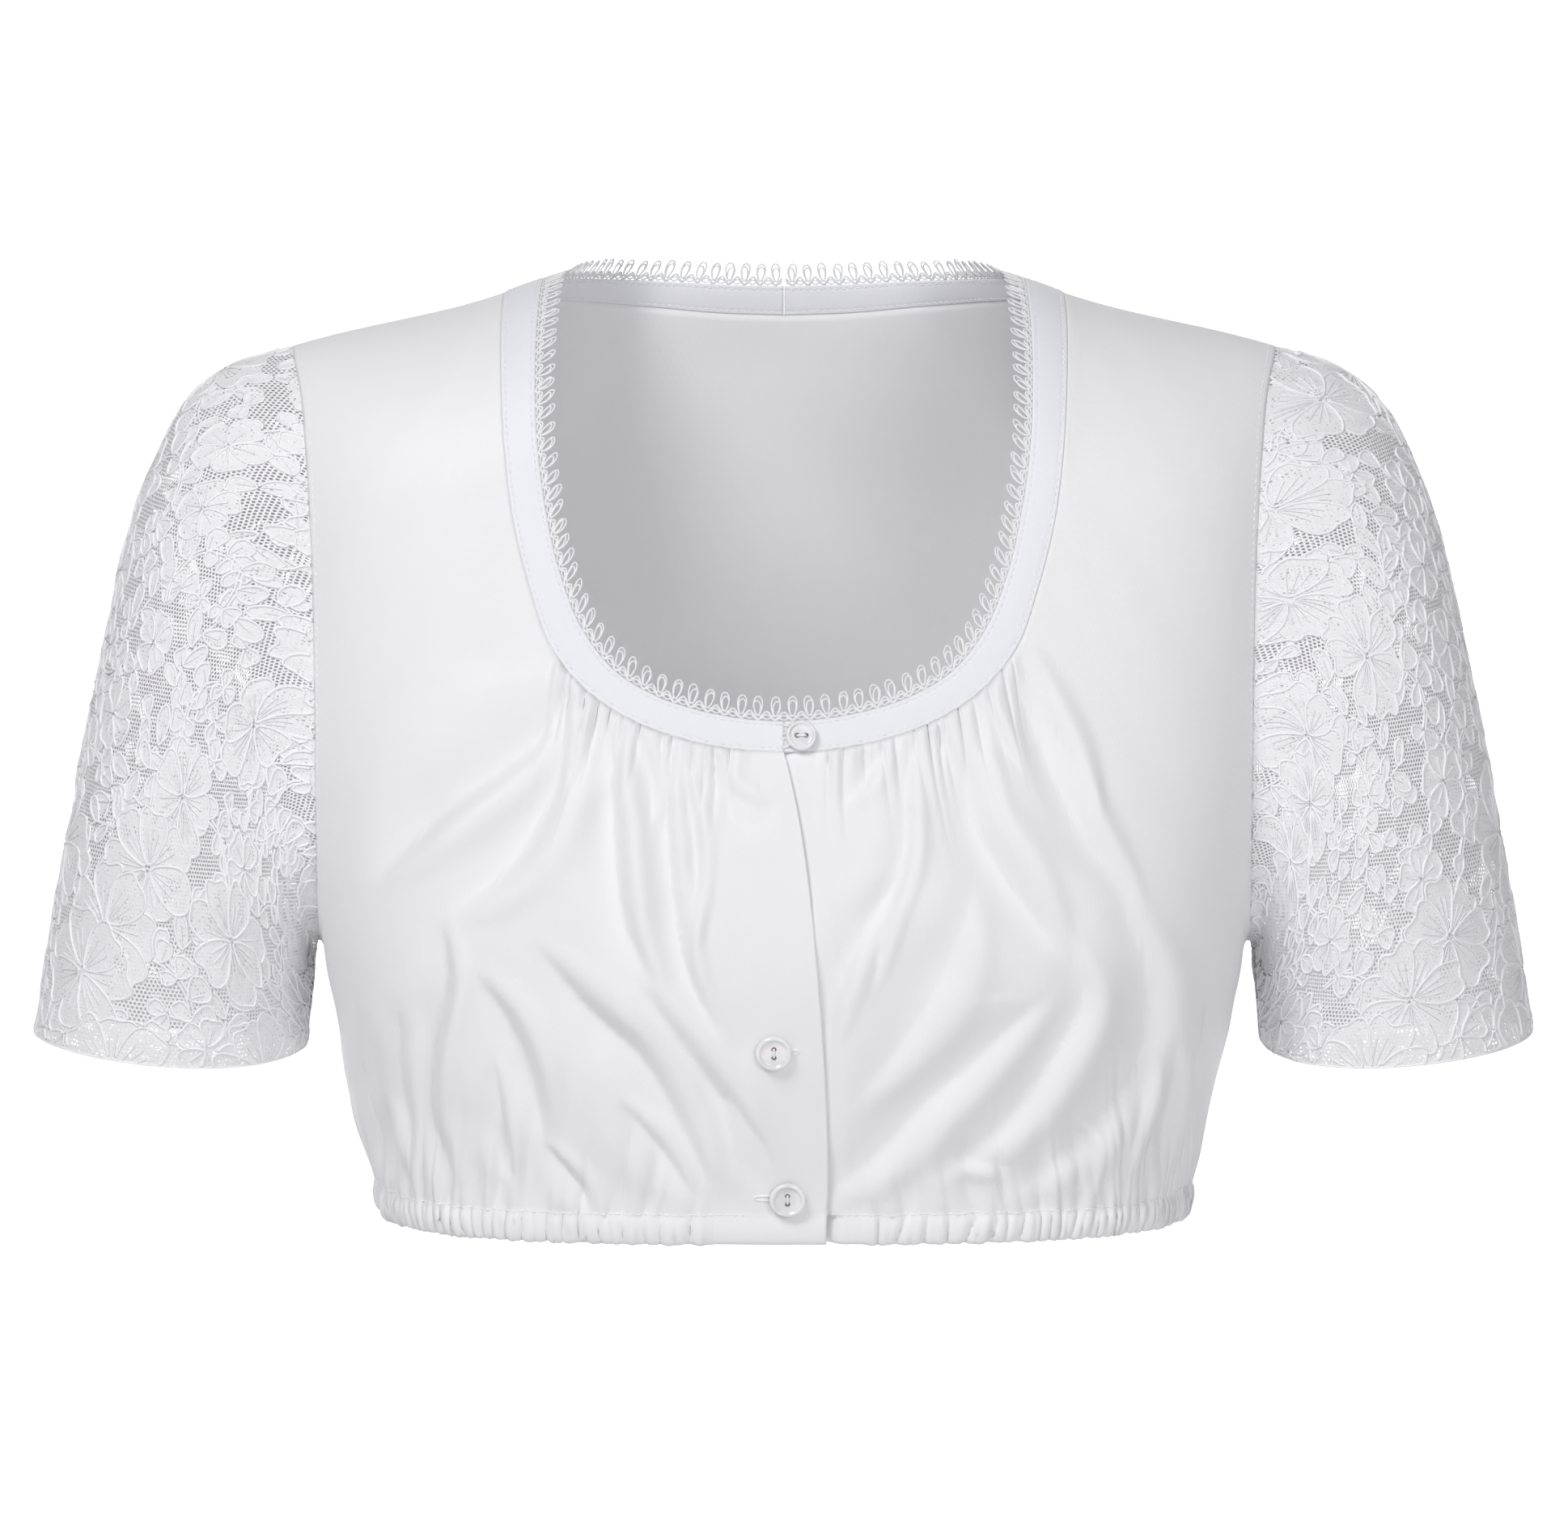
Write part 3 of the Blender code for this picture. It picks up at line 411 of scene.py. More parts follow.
def lapAngle(level):
    return formPlace(-lapOver(level), np.asarray(level, float))[0]


panels = {
    "columns": 270, "backHalfColumns": 131, "rows": 112, "hemRows": 13,
    "underarmRow": 0.34,   # share of the rows that lie below the underarm
    "sideReach": 2.5,      # power by which the shape of the side edge dies away inwards
    "drop": 6.0,           # how far the underarm is drawn down; the dent is how far in
    "dent": 1.2, "dentShare": 0.12, "dentRow": 0.05,
    "cloth": 0.5,          # thickness of the cotton
    "facing": 0.95,        # at the folded front edge
    "facingWidth": 26.0,
    "seamGap": 0.06,
    "hemTube": 1.7,        # half thickness of the turned hem with its elastic
    "hemRidge": 1.3,       # height of its pleats
    "neckFlat": 10.0, "neckGathered": 90.0, "neckShare": 0.8, "backNeckShare": 0.6,
    "frontLength": 172.0,  # from the neck band to the stitching of the hem
    "lapBack": 1.5,        # how far the left front lies behind the right, more at the hem
    "lapBackHem": 2.3,
    "lapEase": 7.0,
    "backDeeper": 1.5,     # factor on the depths of the back's folds
}


def panelGrid(face, across, row, half):
    # straight from hem to top edge, plus what the middle edge and, near it, the side seam
    # and armhole bend away from that; the underarm is drawn down and in a little
    s = panels
    top, neckLength = topEdge(face)
    armhole = edgeOf(form["armhole"], face)
    lowStart = float(lapAngle(hemTop)) if face == "front" else 0.0

    def low(share):
        return lowStart + (math.pi / 2 - lowStart) * share, np.full_like(share, hemTop)

    def high(share):
        if face == "front":
            marks = [0, half["neckFrom"], half["neckTo"], s["neckShare"], 1.0]
            lengths = [0, s["neckFlat"], s["neckGathered"], neckLength, top["along"][-1]]
        else:
            marks, lengths = [0, s["backNeckShare"], 1.0], [0, neckLength, top["along"][-1]]
        along = np.interp(share, marks, lengths)
        return readEdge(top, along / top["along"][-1])

    if face == "front":
        level = hemTop + (form["neckFront"] - hemTop) * row
        left = lapAngle(level) * ease((1 - row) / 0.02), level
    else:
        level = hemTop + (form["bandLowback"]["height"][-1] - hemTop) * row
        left = np.zeros_like(level), level
    share = np.clip((row - s["underarmRow"]) / (1 - s["underarmRow"]), 0, 1)
    up = row > s["underarmRow"]
    seam = hemTop + (form["underarm"] - hemTop) * np.clip(row / s["underarmRow"], 0, 1)
    hole = readEdge(armhole, share)
    right = np.where(up, hole[0], math.pi / 2), np.where(up, hole[1], seam)
    result = []
    r, a = row[:, None], across[None, :]
    for i in range(2):
        ends = low(np.array([0.0, 1.0]))[i], high(np.array([0.0, 1.0]))[i]
        value = (1 - r) * low(across)[i][None] + r * high(across)[i][None]
        value = value + (1 - a) * (left[i] - (1 - row) * ends[0][0] - row * ends[1][0])[:, None]
        value = value + a ** s["sideReach"] * (right[i] - (1 - row) * ends[0][1] - row * ends[1][1])[:, None]
        result.append(value)
    near = np.exp(-((1 - a) / s["dentShare"]) ** 2 - ((r - s["underarmRow"]) / s["dentRow"]) ** 2)
    near = near * ease((1 - a) / 0.035)
    result[1] = result[1] - s["drop"] * near
    return result[0], result[1], near


def puckers(phase, sharpness):
    # rounded crests with pinched valleys between them, one for each whole number
    return 2 * np.abs(np.sin(math.pi * phase)) ** sharpness - 1


def unevenly(share, count, seed, spread=0.5):
    # share from 0 to 1 turned into a count of gathers whose widths differ
    widths = 1 + spread * np.random.default_rng(seed + 60).uniform(-1, 1, int(count))
    marks = np.concatenate([[0], np.cumsum(widths)])
    return np.interp(share, marks / marks[-1], np.arange(len(marks)), left=0, right=len(marks) - 1)


def ownValue(phase, seed, low, high):
    # one random value for each gather, blended at the pinches between them
    values = np.random.default_rng(seed + 80).uniform(low, high, 90)
    return np.interp(phase, np.arange(90) + 0.5, values)


def wander(values, seed, size):
    # smooth unevenness, the same in each run
    rng = np.random.default_rng(seed)
    total = np.zeros_like(values)
    for k in range(5):
        total = total + np.sin(values * rng.uniform(0.5, 2.4) * (k + 1) + rng.uniform(0, 6.28)) / (k + 1.5)
    return total * size


def foldHeights(rows, x, z):
    # Each fold is a trough along a bent line: a wide bell on the side that it leans to and a
    # steep one on the other, where a ridge follows; a low swell lies beyond the wide flank.
    # All of it fades towards both ends of the line.
    total = np.zeros_like(x)
    for points, width, depth, lean in rows:
        line = bent(points, 46)
        t = np.linspace(0, 1, len(line))
        ahead = unit(np.gradient(line, axis=0))
        reach = width * 8 + 6
        box = ((x > line[:, 0].min() - reach) & (x < line[:, 0].max() + reach)
               & (z > line[:, 1].min() - reach) & (z < line[:, 1].max() + reach))
        dx, dz = x[box][:, None] - line[:, 0], z[box][:, None] - line[:, 1]
        away = dx * dx + dz * dz
        # soft nearest point, so that the field has no jumps inside a bend
        weight = np.exp(-(away - away.min(axis=1, keepdims=True)) / (0.5 * width) ** 2)
        weight = weight / weight.sum(axis=1, keepdims=True)
        share = (weight * t).sum(axis=1)
        side = np.sign((weight * (dx * ahead[:, 1] - dz * ahead[:, 0])).sum(axis=1))
        d = np.sqrt(away.min(axis=1)) * side * lean
        w = width * (0.5 + 0.8 * np.sin(math.pi * np.clip(share, 0.02, 0.98)) ** 0.7)
        fade = np.sin(math.pi * np.clip(share, 0, 1)) ** 0.7
        trough = -np.where(d > 0, np.exp(-(d / (1.5 * w)) ** 2), np.exp(-np.abs(d / (0.5 * w)) ** 1.5))
        ridge = 0.62 * np.exp(-np.abs((d + 1.15 * w) / (0.8 * w)) ** 2.2)
        swell = 0.3 * np.exp(-((d - 3.0 * w) / (1.5 * w)) ** 2)
        total[box] += depth * fade * (trough + ridge + swell)
    return total


# Fronts: sharing of the width, gathers, and folds as bent lines of the front view
# (out from the middle, height), half width, depth and the side of their gentle flank
frontPieces = {
    "front_right": {
        "side": -1, "over": True, "hemGathers": 33, "neckGathers": 15, "flatTo": 24.0,
        "neckFrom": 0.13, "neckTo": 0.62, "seed": 3, "deeper": 1.55,
        "folds": [
            ([(72, -128), (81, -141), (97, -155), (119, -172), (139, -192)], 6.5, 3.6, -1),
            ([(70, -136), (78, -161), (94, -187), (112, -203)], 7.0, 3.1, -1),
            ([(63, -134), (66, -146), (72, -164)], 3.2, 1.3, 1),
            ([(116, -208), (115, -228), (121, -252), (122, -273), (114, -300)], 4.6, 2.8, -1),
            ([(104, -226), (93, -242), (86, -260), (82, -281)], 5.0, 2.6, -1),
            ([(99, -255), (97, -271), (96, -281), (92, -298)], 2.6, 1.7, -1),
            ([(83, -216), (66, -236), (50, -251), (38, -271), (25, -297)], 6.2, 3.3, -1),
            ([(49, -226), (31, -253), (17, -273), (5, -290), (1, -299)], 5.2, 2.6, -1),
            ([(58, -143), (57, -180), (53, -207), (43, -229)], 4.6, 2.7, -1),
            ([(39, -149), (39, -172), (37, -197), (32, -223), (22, -244)], 3.4, 2.4, -1),
            ([(35, -152), (30, -175), (30, -197), (32, -216)], 2.6, 1.5, -1),
            ([(22, -150), (19, -162), (8, -168), (2, -166)], 3.4, 1.3, -1),
            ([(47, -146), (45, -156), (45, -172)], 2.8, 1.3, -1),
            ([(81, -284), (75, -291), (70, -298), (66, -306)], 2.4, 1.5, -1),
            ([(56, -268), (42, -285), (31, -301)], 3.0, 1.7, -1),
            ([(139, -272), (137, -288), (130, -304)], 3.2, 1.8, -1),
            ([(132, -236), (133, -262), (127, -300)], 4.6, 1.8, -1),
            ([(148, -238), (147, -268), (140, -302)], 3.6, 1.7, 1),
        ],
    },
    "front_left": {
        "side": 1, "over": False, "hemGathers": 36, "neckGathers": 15, "flatTo": 26.0,
        "neckFrom": 0.13, "neckTo": 0.60, "seed": 8, "deeper": 1.25,
        "folds": [
            ([(80, -113), (87, -131), (97, -152), (105, -172)], 3.8, 2.8, 1),
            ([(75, -122), (84, -137), (92, -157), (103, -177), (120, -200)], 4.4, 3.0, 1),
            ([(62, -148), (67, -177), (77, -193), (93, -216)], 6.4, 3.6, 1),
            ([(44, -143), (42, -161), (41, -183), (35, -204), (30, -228)], 3.0, 1.9, 1),
            ([(34, -146), (29, -156), (20, -166)], 2.8, 1.4, 1),
            ([(38, -192), (26, -210), (18, -229), (16, -246)], 4.0, 1.9, 1),
            ([(63, -199), (54, -223), (41, -246), (26, -266)], 7.0, 2.6, 1),
            ([(89, -232), (66, -253), (47, -271), (32, -288), (16, -300)], 6.4, 3.0, 1),
            ([(96, -214), (102, -232), (92, -254), (73, -279), (54, -293)], 6.0, 2.8, 1),
            ([(114, -199), (126, -232), (124, -256), (109, -277), (80, -300)], 6.6, 3.0, 1),
            ([(127, -258), (122, -276), (118, -294)], 3.0, 2.0, 1),
            ([(134, -250), (134, -274), (130, -300)], 3.2, 2.0, 1),
            ([(146, -238), (145, -268), (139, -302)], 3.6, 1.8, -1),
            ([(51, -135), (54, -145), (58, -157)], 2.6, 1.3, 1),
            ([(56, -284), (65, -289), (76, -292)], 2.8, 1.3, -1),
            ([(99, -275), (105, -287), (106, -301)], 2.8, 1.7, 1),
            ([(66, -130), (72, -142), (80, -156)], 2.6, 1.3, 1),
        ],
    },
}

backPiece = {
    "gathers": 60, "seed": 15,
    # out runs from the wearer's right, below zero, to the left
    "folds": [
        ([(-138, -226), (-140, -262), (-134, -304)], 5.0, 2.2, 1),
        ([(-112, -200), (-118, -250), (-110, -304)], 6.0, 2.6, 1),
        ([(-92, -226), (-96, -264), (-92, -304)], 4.0, 2.0, -1),
        ([(-70, -190), (-78, -250), (-72, -304)], 6.0, 2.6, 1),
        ([(-44, -150), (-50, -226), (-48, -304)], 6.0, 2.2, -1),
        ([(-24, -220), (-26, -262), (-24, -304)], 4.4, 2.0, 1),
        ([(-2, -168), (-4, -236), (-2, -304)], 6.0, 2.2, -1),
        ([(22, -210), (20, -260), (24, -304)], 4.6, 2.0, 1),
        ([(44, -156), (52, -226), (50, -304)], 6.0, 2.4, -1),
        ([(72, -200), (76, -258), (72, -304)], 4.8, 2.2, 1),
        ([(94, -190), (102, -252), (98, -304)], 6.0, 2.6, -1),
        ([(118, -222), (122, -264), (118, -304)], 4.6, 2.0, 1),
        ([(139, -222), (141, -260), (136, -304)], 5.0, 2.2, -1),
        ([(-144, -70), (-118, -112), (-84, -140)], 8.0, 1.6, 1),
        ([(144, -74), (118, -116), (80, -144)], 8.0, 1.6, -1),
        ([(-104, -280), (-101, -292), (-103, -305)], 2.6, 1.4, 1),
        ([(-58, -276), (-60, -290), (-58, -305)], 2.8, 1.5, -1),
        ([(36, -274), (37, -290), (35, -305)], 2.6, 1.4, 1),
        ([(86, -278), (87, -292), (85, -305)], 2.8, 1.5, -1),
    ],
}


def hemGathers(phase, up, seed):
    # crests at the stitching that die away at uneven heights, then wider ones that go on
    reach = ownValue(phase, seed, 4, 20)
    lean = 0.3 * ownValue(phase, seed + 8, -1, 1) * np.clip(up / 16, 0, 1)
    fine = ownValue(phase, seed + 1, 0.55, 1.3) * puckers(phase + lean, 0.6) * np.exp(-up / reach)
    wide = puckers(phase * 0.43 + wander(phase * 0.35, seed + 1, 0.2), 1.0)
    height = ownValue(phase * 0.43, seed + 2, 11, 38)
    return fine + 1.5 * wide * np.exp(-(up / height) ** 2) * (1 - np.exp(-up / 5))


def neckGathers(phase, down, seed):
    reach = ownValue(phase, seed + 5, 5, 19) * np.where(ownValue(phase, seed + 7, 0, 1) > 0.8, 1.7, 1)
    lean = 0.35 * ownValue(phase, seed + 8, -1, 1) * np.clip(down / 14, 0, 1)
    fine = ownValue(phase, seed + 6, 0.95, 2.2) * puckers(phase + lean, 0.5) * np.exp(-(down / reach) ** 1.3)
    short = 0.45 * puckers(phase * 2.3 + lean, 0.5) * np.exp(-down / 4)
    return (fine + short) * ease(down / 1.2 + 0.4)


def shellOf(middle, normals, outward, inward):
    # outer and inner skin of one closed wall, joined all round its edge
    rows, columns = middle.shape[:2]
    outer = middle + normals * outward[..., None]
    inner = middle - normals * inward[..., None]
    points = np.concatenate([outer.reshape(-1, 3), inner.reshape(-1, 3)])
    skin = gridFaces(rows, columns)
    count = rows * columns
    rim = np.concatenate([
        np.arange(columns), np.arange(1, rows) * columns + columns - 1,
        (rows - 1) * columns + np.arange(columns - 2, -1, -1), np.arange(rows - 2, 0, -1) * columns])
    ahead = np.roll(rim, -1)
    edge = np.stack([rim, rim + count, ahead + count, ahead], -1)
    return points, np.concatenate([skin, skin[:, ::-1] + count, edge])


def cornerValues(values, faces):
    return values[faces.ravel()]


def panelUv(middle):
    # millimetres along the threads: along each row and up each column
    return np.stack([arcLengths(middle, 1), arcLengths(middle, 0)], -1).reshape(-1, 2)


def hemShape(count):
    # the turned hem from its lower edge to the stitching: height and swell of each row
    up = np.linspace(0, 1, count)
    swell = np.sin(math.pi * (0.02 + 0.9 * up ** 0.75)) ** 0.6
    return form["hem"] + form["hemDepth"] * up, swell


def hemRows(angles, face, phase, gathered, seed):
    # soft tube of the hem; its ridges are pinched at the stitching and roll over the edge
    s = panels
    levels, swell = hemShape(s["hemRows"])
    slant = 0.5 * ownValue(phase, seed + 3, -1, 1)[None] * np.linspace(1, 0, len(levels))[:, None]
    ridge = puckers(phase[None] + slant, 0.42) + 0.4 * puckers(phase[None] * 2.1 + slant, 0.6)
    ridge = ridge * ownValue(phase, seed + 4, 0.7, 1.5) * gathered[None]
    level = levels[:, None] - 0.16 * ridge * np.linspace(1, 0, len(levels))[:, None] ** 2
    angle = np.broadcast_to(angles[None], level.shape)
    middle = formPoint(angle, level, face)
    normals = formNormal(angle, level, face)
    middle = middle + normals * (s["hemRidge"] * ridge * (0.6 + 0.4 * swell[:, None]))[..., None]
    half = np.maximum(0.8 * s["hemTube"] * swell, 0.12)[:, None] * (1 + 0.12 * ridge)
    return middle, normals, half


def onHem(face, angle, middle, normals, lift, phase, gathered, seed):
    # the cloth moved out by its folds, on top of the tube of the hem: points, directions
    # and half thickness
    hem, hemNormals, hemHalf = hemRows(angle[0], face, phase, gathered, seed)
    upper = (middle + normals * lift[..., None])[1:]
    half = np.full(upper.shape[:2], panels["cloth"] / 2)
    return (np.concatenate([hem, upper]), np.concatenate([hemNormals, normals[1:]]),
            np.concatenate([hemHalf, half]))


def frontPanel(name, piece):
    s = panels
    across = np.linspace(0, 1, s["columns"])
    row = np.linspace(0, 1, s["rows"])
    angle, level, near = panelGrid("front", across, row, piece)
    middle, normals = formPoint(angle, level, "front"), formNormal(angle, level, "front")
    x, z = middle[..., 0], middle[..., 2]
    lowAngle = float(lapAngle(form["hem"]))
    flatAngle = float(formPlace(np.array(piece["flatTo"]), np.array(form["hem"]))[0])
    flat = (flatAngle - lowAngle) / (math.pi / 2 - lowAngle)
    phase = unevenly((across - flat) / (1 - flat), piece["hemGathers"], piece["seed"])
    gathered = ease((across - flat) / 0.02) * ease((1 - across) / 0.008)
    down = (1 - row[:, None]) * s["frontLength"]
    start, end = piece["neckFrom"], piece["neckTo"]
    neckPhase = unevenly((across - start) / (end - start), piece["neckGathers"], piece["seed"] + 1, 0.65)
    atNeck = ease((across - start) / 0.03) * ease((end - across) / 0.03)
    free = ease((x + 6) / 16) * ease((1 - across[None]) / 0.05) * ease(down / 5)
    lift = piece["deeper"] * foldHeights(piece["folds"], x, z) * free - s["dent"] * near
    lift += hemGathers(phase[None], z - hemTop, piece["seed"]) * gathered[None]
    lift += neckGathers(neckPhase[None], down, piece["seed"]) * atNeck[None]
    if piece["over"]:
        # troughs stay clear of the edge of the left front underneath
        lift = np.maximum(lift, -0.5 - 7 * ease((x - 16) / 9))
    lift += wander(x * 0.035 + z * 0.021, piece["seed"] + 9, 0.22) * free
    middle, normals, half = onHem("front", angle, middle, normals, lift, phase, gathered, piece["seed"])
    strip = ease((s["facingWidth"] - (middle[..., 0] + 12)) / 3)
    half = half + strip * (s["facing"] - s["cloth"]) / 2
    if not piece["over"]:
        back = s["lapBack"] + s["lapBackHem"] * (middle[..., 2] < hemTop + 1)
        shift = back * ease((lapOver(middle[..., 2]) + s["lapEase"] - middle[..., 0]) / s["lapEase"])
        middle = middle - normals * shift[..., None]
    return finishPanel(name, middle, half, piece["side"], -1)


def finishPanel(name, middle, half, side, facing):
    # the seams to the other face lie at y = 0 and are a hair apart
    middle[..., 1] = facing * np.maximum(facing * middle[..., 1], panels["seamGap"])
    middle = middle * np.array([side, 1.0, 1.0])
    normals = gridNormals(middle)
    outwards = np.sum(normals * middle * np.array([1, 1, 0]), axis=-1).mean() > 0
    if not outwards:
        normals = -normals
    points, faces = shellOf(middle, normals, half, half)
    uv = cornerValues(np.tile(panelUv(middle), (2, 1)), faces)
    made = makePiece(name + "_cloth", points, faces, cottonSatin, uv=uv, flip=not outwards)
    return dress(made, "cotton_satin", name), middle, normals


def backPanel(piece):
    s = panels
    half = np.linspace(0, 1, s["backHalfColumns"])
    row = np.linspace(0, 1, s["rows"])
    angle, level, near = panelGrid("back", half, row, {})
    across = np.concatenate([-half[:0:-1], half])
    angle = np.concatenate([-angle[:, :0:-1], angle], axis=1)
    level = np.concatenate([level[:, :0:-1], level], axis=1)
    near = np.concatenate([near[:, :0:-1], near], axis=1)
    middle, normals = formPoint(angle, level, "back"), formNormal(angle, level, "back")
    x, z = middle[..., 0], middle[..., 2]
    phase = unevenly((across + 1) / 2, piece["gathers"], piece["seed"])
    gathered = ease((1 - np.abs(across)) / 0.008)
    free = ease((1 - np.abs(across[None])) / 0.05) * ease((1 - row[:, None]) / 0.05)
    lift = s["backDeeper"] * foldHeights(piece["folds"], x, z) * free - s["dent"] * near
    lift += hemGathers(phase[None], z - hemTop, piece["seed"]) * gathered[None]
    lift += wander(x * 0.03 + z * 0.02, piece["seed"] + 9, 0.2) * free
    middle, _, thick = onHem("back", angle, middle, normals, lift, phase, gathered, piece["seed"])
    return finishPanel("back", middle, thick, 1, 1)


def bandScale(spacing):
    # scale of a wave texture whose crests lie this many millimetres apart, 20 to a unit
    return 1000 / spacing / 20


def fabricMaterial(name, colour, shade, threads):
    # Cotton satin, woven and calendered: close fine threads, a soft sheen, long floats that
    # make it smoother across than along. The threads are drawn at 0.42 mm, twice as coarse as
    # real ones, so that they show.
    made, tree, shader = newMaterial(name, colour, 0.5, Sheen_Weight=0.25, Sheen_Roughness=0.4,
                                     Specular_IOR_Level=0.35)
    uv = addNode(tree, "UVMap", {}, uv_map="clothUv")
    waves = [addNode(tree, "TexWave", {"Vector": uv, "Scale": bandScale(spacing), "Distortion": 0.6,
                                       "Detail": 1.0, "Detail Scale": 2.0}, "Fac", bands_direction=way)
             for way, spacing in zip(("X", "Y"), threads)]
    weave = addNode(tree, "Math", {0: waves[0], 1: waves[1]}, operation="MAXIMUM")
    slub = addNode(tree, "TexNoise", {"Vector": uv, "Scale": 160.0, "Detail": 3.0}, "Fac")
    cloud = addNode(tree, "TexNoise", {"Vector": uv, "Scale": 14.0, "Detail": 2.0}, "Fac")
    height = addNode(tree, "Math", {0: weave, 1: slub}, operation="ADD")
    setInputs(tree, shader, {
        "Normal": addNode(tree, "Bump", {"Height": height, "Strength": 0.25, "Distance": 0.0001}),
        "Base Color": addNode(tree, "Mix", {"Factor": cloud, "A": linear(shade), "B": linear(colour)},
                              "Result", data_type="RGBA"),
        "Roughness": addNode(tree, "MapRange", {"Value": slub, "To Min": 0.44, "To Max": 0.58})})
    return made


cottonSatin = fabricMaterial("cottonSatin", "#f3f3f4", "#f0eff1", (0.42, 0.5))
bandCotton = fabricMaterial("bandCotton", "#f1f1f5", "#edeef3", (0.42, 0.5))
sewingThread, _, _ = newMaterial("sewingThread", "#f6f6f7", 0.6)

for name, piece in frontPieces.items():
    made, middle, normals = frontPanel(name, piece)
    piece["made"], piece["middle"], piece["normals"] = made, middle, normals
    print(name, "made", len(made.data.polygons))
made, backMiddle, backNormals = backPanel(backPiece)
print("back made", len(made.data.polygons))


# threads, cords and stitches

def tubes(lines, radii, sides, closed=False):
    # a round tube along each line of (points, normals): its rings stand square to the line
    parts = []
    turn = fullTurn(sides)[None, :, None]
    radii = [radii] * len(lines) if np.isscalar(radii) else radii
    for (points, normals), radius in zip(lines, radii):
        if closed:
            ahead = unit(np.roll(points, -1, axis=0) - np.roll(points, 1, axis=0))
        else:
            ahead = unit(np.gradient(points, axis=0))
        side = unit(np.cross(ahead, normals))
        up = np.cross(side, ahead)
        size = np.broadcast_to(np.asarray(radius, float), (len(points),))[:, None, None]
        ring = points[:, None] + size * (side[:, None] * np.cos(turn) + up[:, None] * np.sin(turn))
        faces = gridFaces(len(points), sides, closedColumns=True, closedRows=closed)
        parts.append((ring.reshape(-1, 3), faces))
    return joined(parts)


def taperedEnds(count, radius, share=0.12):
    along = np.linspace(0, 1, count)
    return radius * np.clip(np.minimum(along, 1 - along) / share, 0.05, 1) ** 0.5


stitching = {"pitch": 2.7, "length": 2.0, "radius": 0.25, "taper": (0.4, 1, 1, 0.4)}


def stitches(points, normals):
    # short spindles of thread at even steps along a line on the cloth
    s = stitching
    along = lengthsAlong(points)
    both = np.concatenate([points, normals], axis=1)
    shares = np.linspace(0, 1, len(s["taper"]))
    arch = (np.sin(math.pi * shares) * 0.9 - 0.6) * s["radius"]
    lines = []
    for start in np.arange(s["pitch"] * 0.3, along[-1] - s["pitch"], s["pitch"]):
        read = readLine(start + shares * s["length"], along, both)
        lines.append((read[:, :3] + read[:, 3:] * arch[:, None], read[:, 3:]))
    return tubes(lines, [s["radius"] * np.array(s["taper"])] * len(lines), 4)


# neck band, folded double and edge stitched, with its picot lace

bandSettings = {
    "frontStations": 260, "backStations": 110, "ripple": 0.14, "gap": 0.1,
    # profile across it: share of its width, height of its face; low at the two stitch lines
    "profile": tableOf(("share", "height"), [
        (0.0, 0.1), (0.012, 0.42), (0.05, 0.66), (0.105, 0.6), (0.125, 0.5), (0.145, 0.6),
        (0.25, 0.74), (0.5, 0.78), (0.75, 0.74), (0.855, 0.6), (0.875, 0.5), (0.895, 0.6),
        (0.955, 0.66), (0.988, 0.42), (1.0, 0.1)]),
    "stitchShares": (0.125, 0.875),
}


def bandRails(piece):
    # lower and upper edge of half the band from centre front to centre back, with directions
    s = bandSettings
    rails = []
    for which in ("Low", "Top"):
        parts = []
        for face, count in (("front", s["frontStations"]), ("back", s["backStations"])):
            edge = neckEdge(which, face)
            share = np.linspace(0, 1, count) if face == "front" else np.linspace(1, 0, count)[1:]
            place = readEdge(edge, share)
            parts.append(np.concatenate([formPoint(*place, face), formNormal(*place, face)], axis=1))
        parts[0][-1, 4] = 0
        rails.append(np.concatenate(parts))
    mirror = np.array([piece["side"], 1.0, 1.0])
    low, high = rails[0][:, :3] * mirror, rails[1][:, :3] * mirror
    across = unit(high - low)
    normals = []
    for rail, edge in ((rails[0], low), (rails[1], high)):
        tangent = unit(np.gradient(edge, axis=0))
        out = rail[:, 3:] * mirror
        out = unit(out - tangent * np.sum(out * tangent, axis=1, keepdims=True))
        out = unit(out - across * np.sum(out * across, axis=1, keepdims=True))
        for _ in range(3):
            out[1:-1] = unit(out[:-2] + 2 * out[1:-1] + out[2:])
        normals.append(out)
    return low, high, across, normals


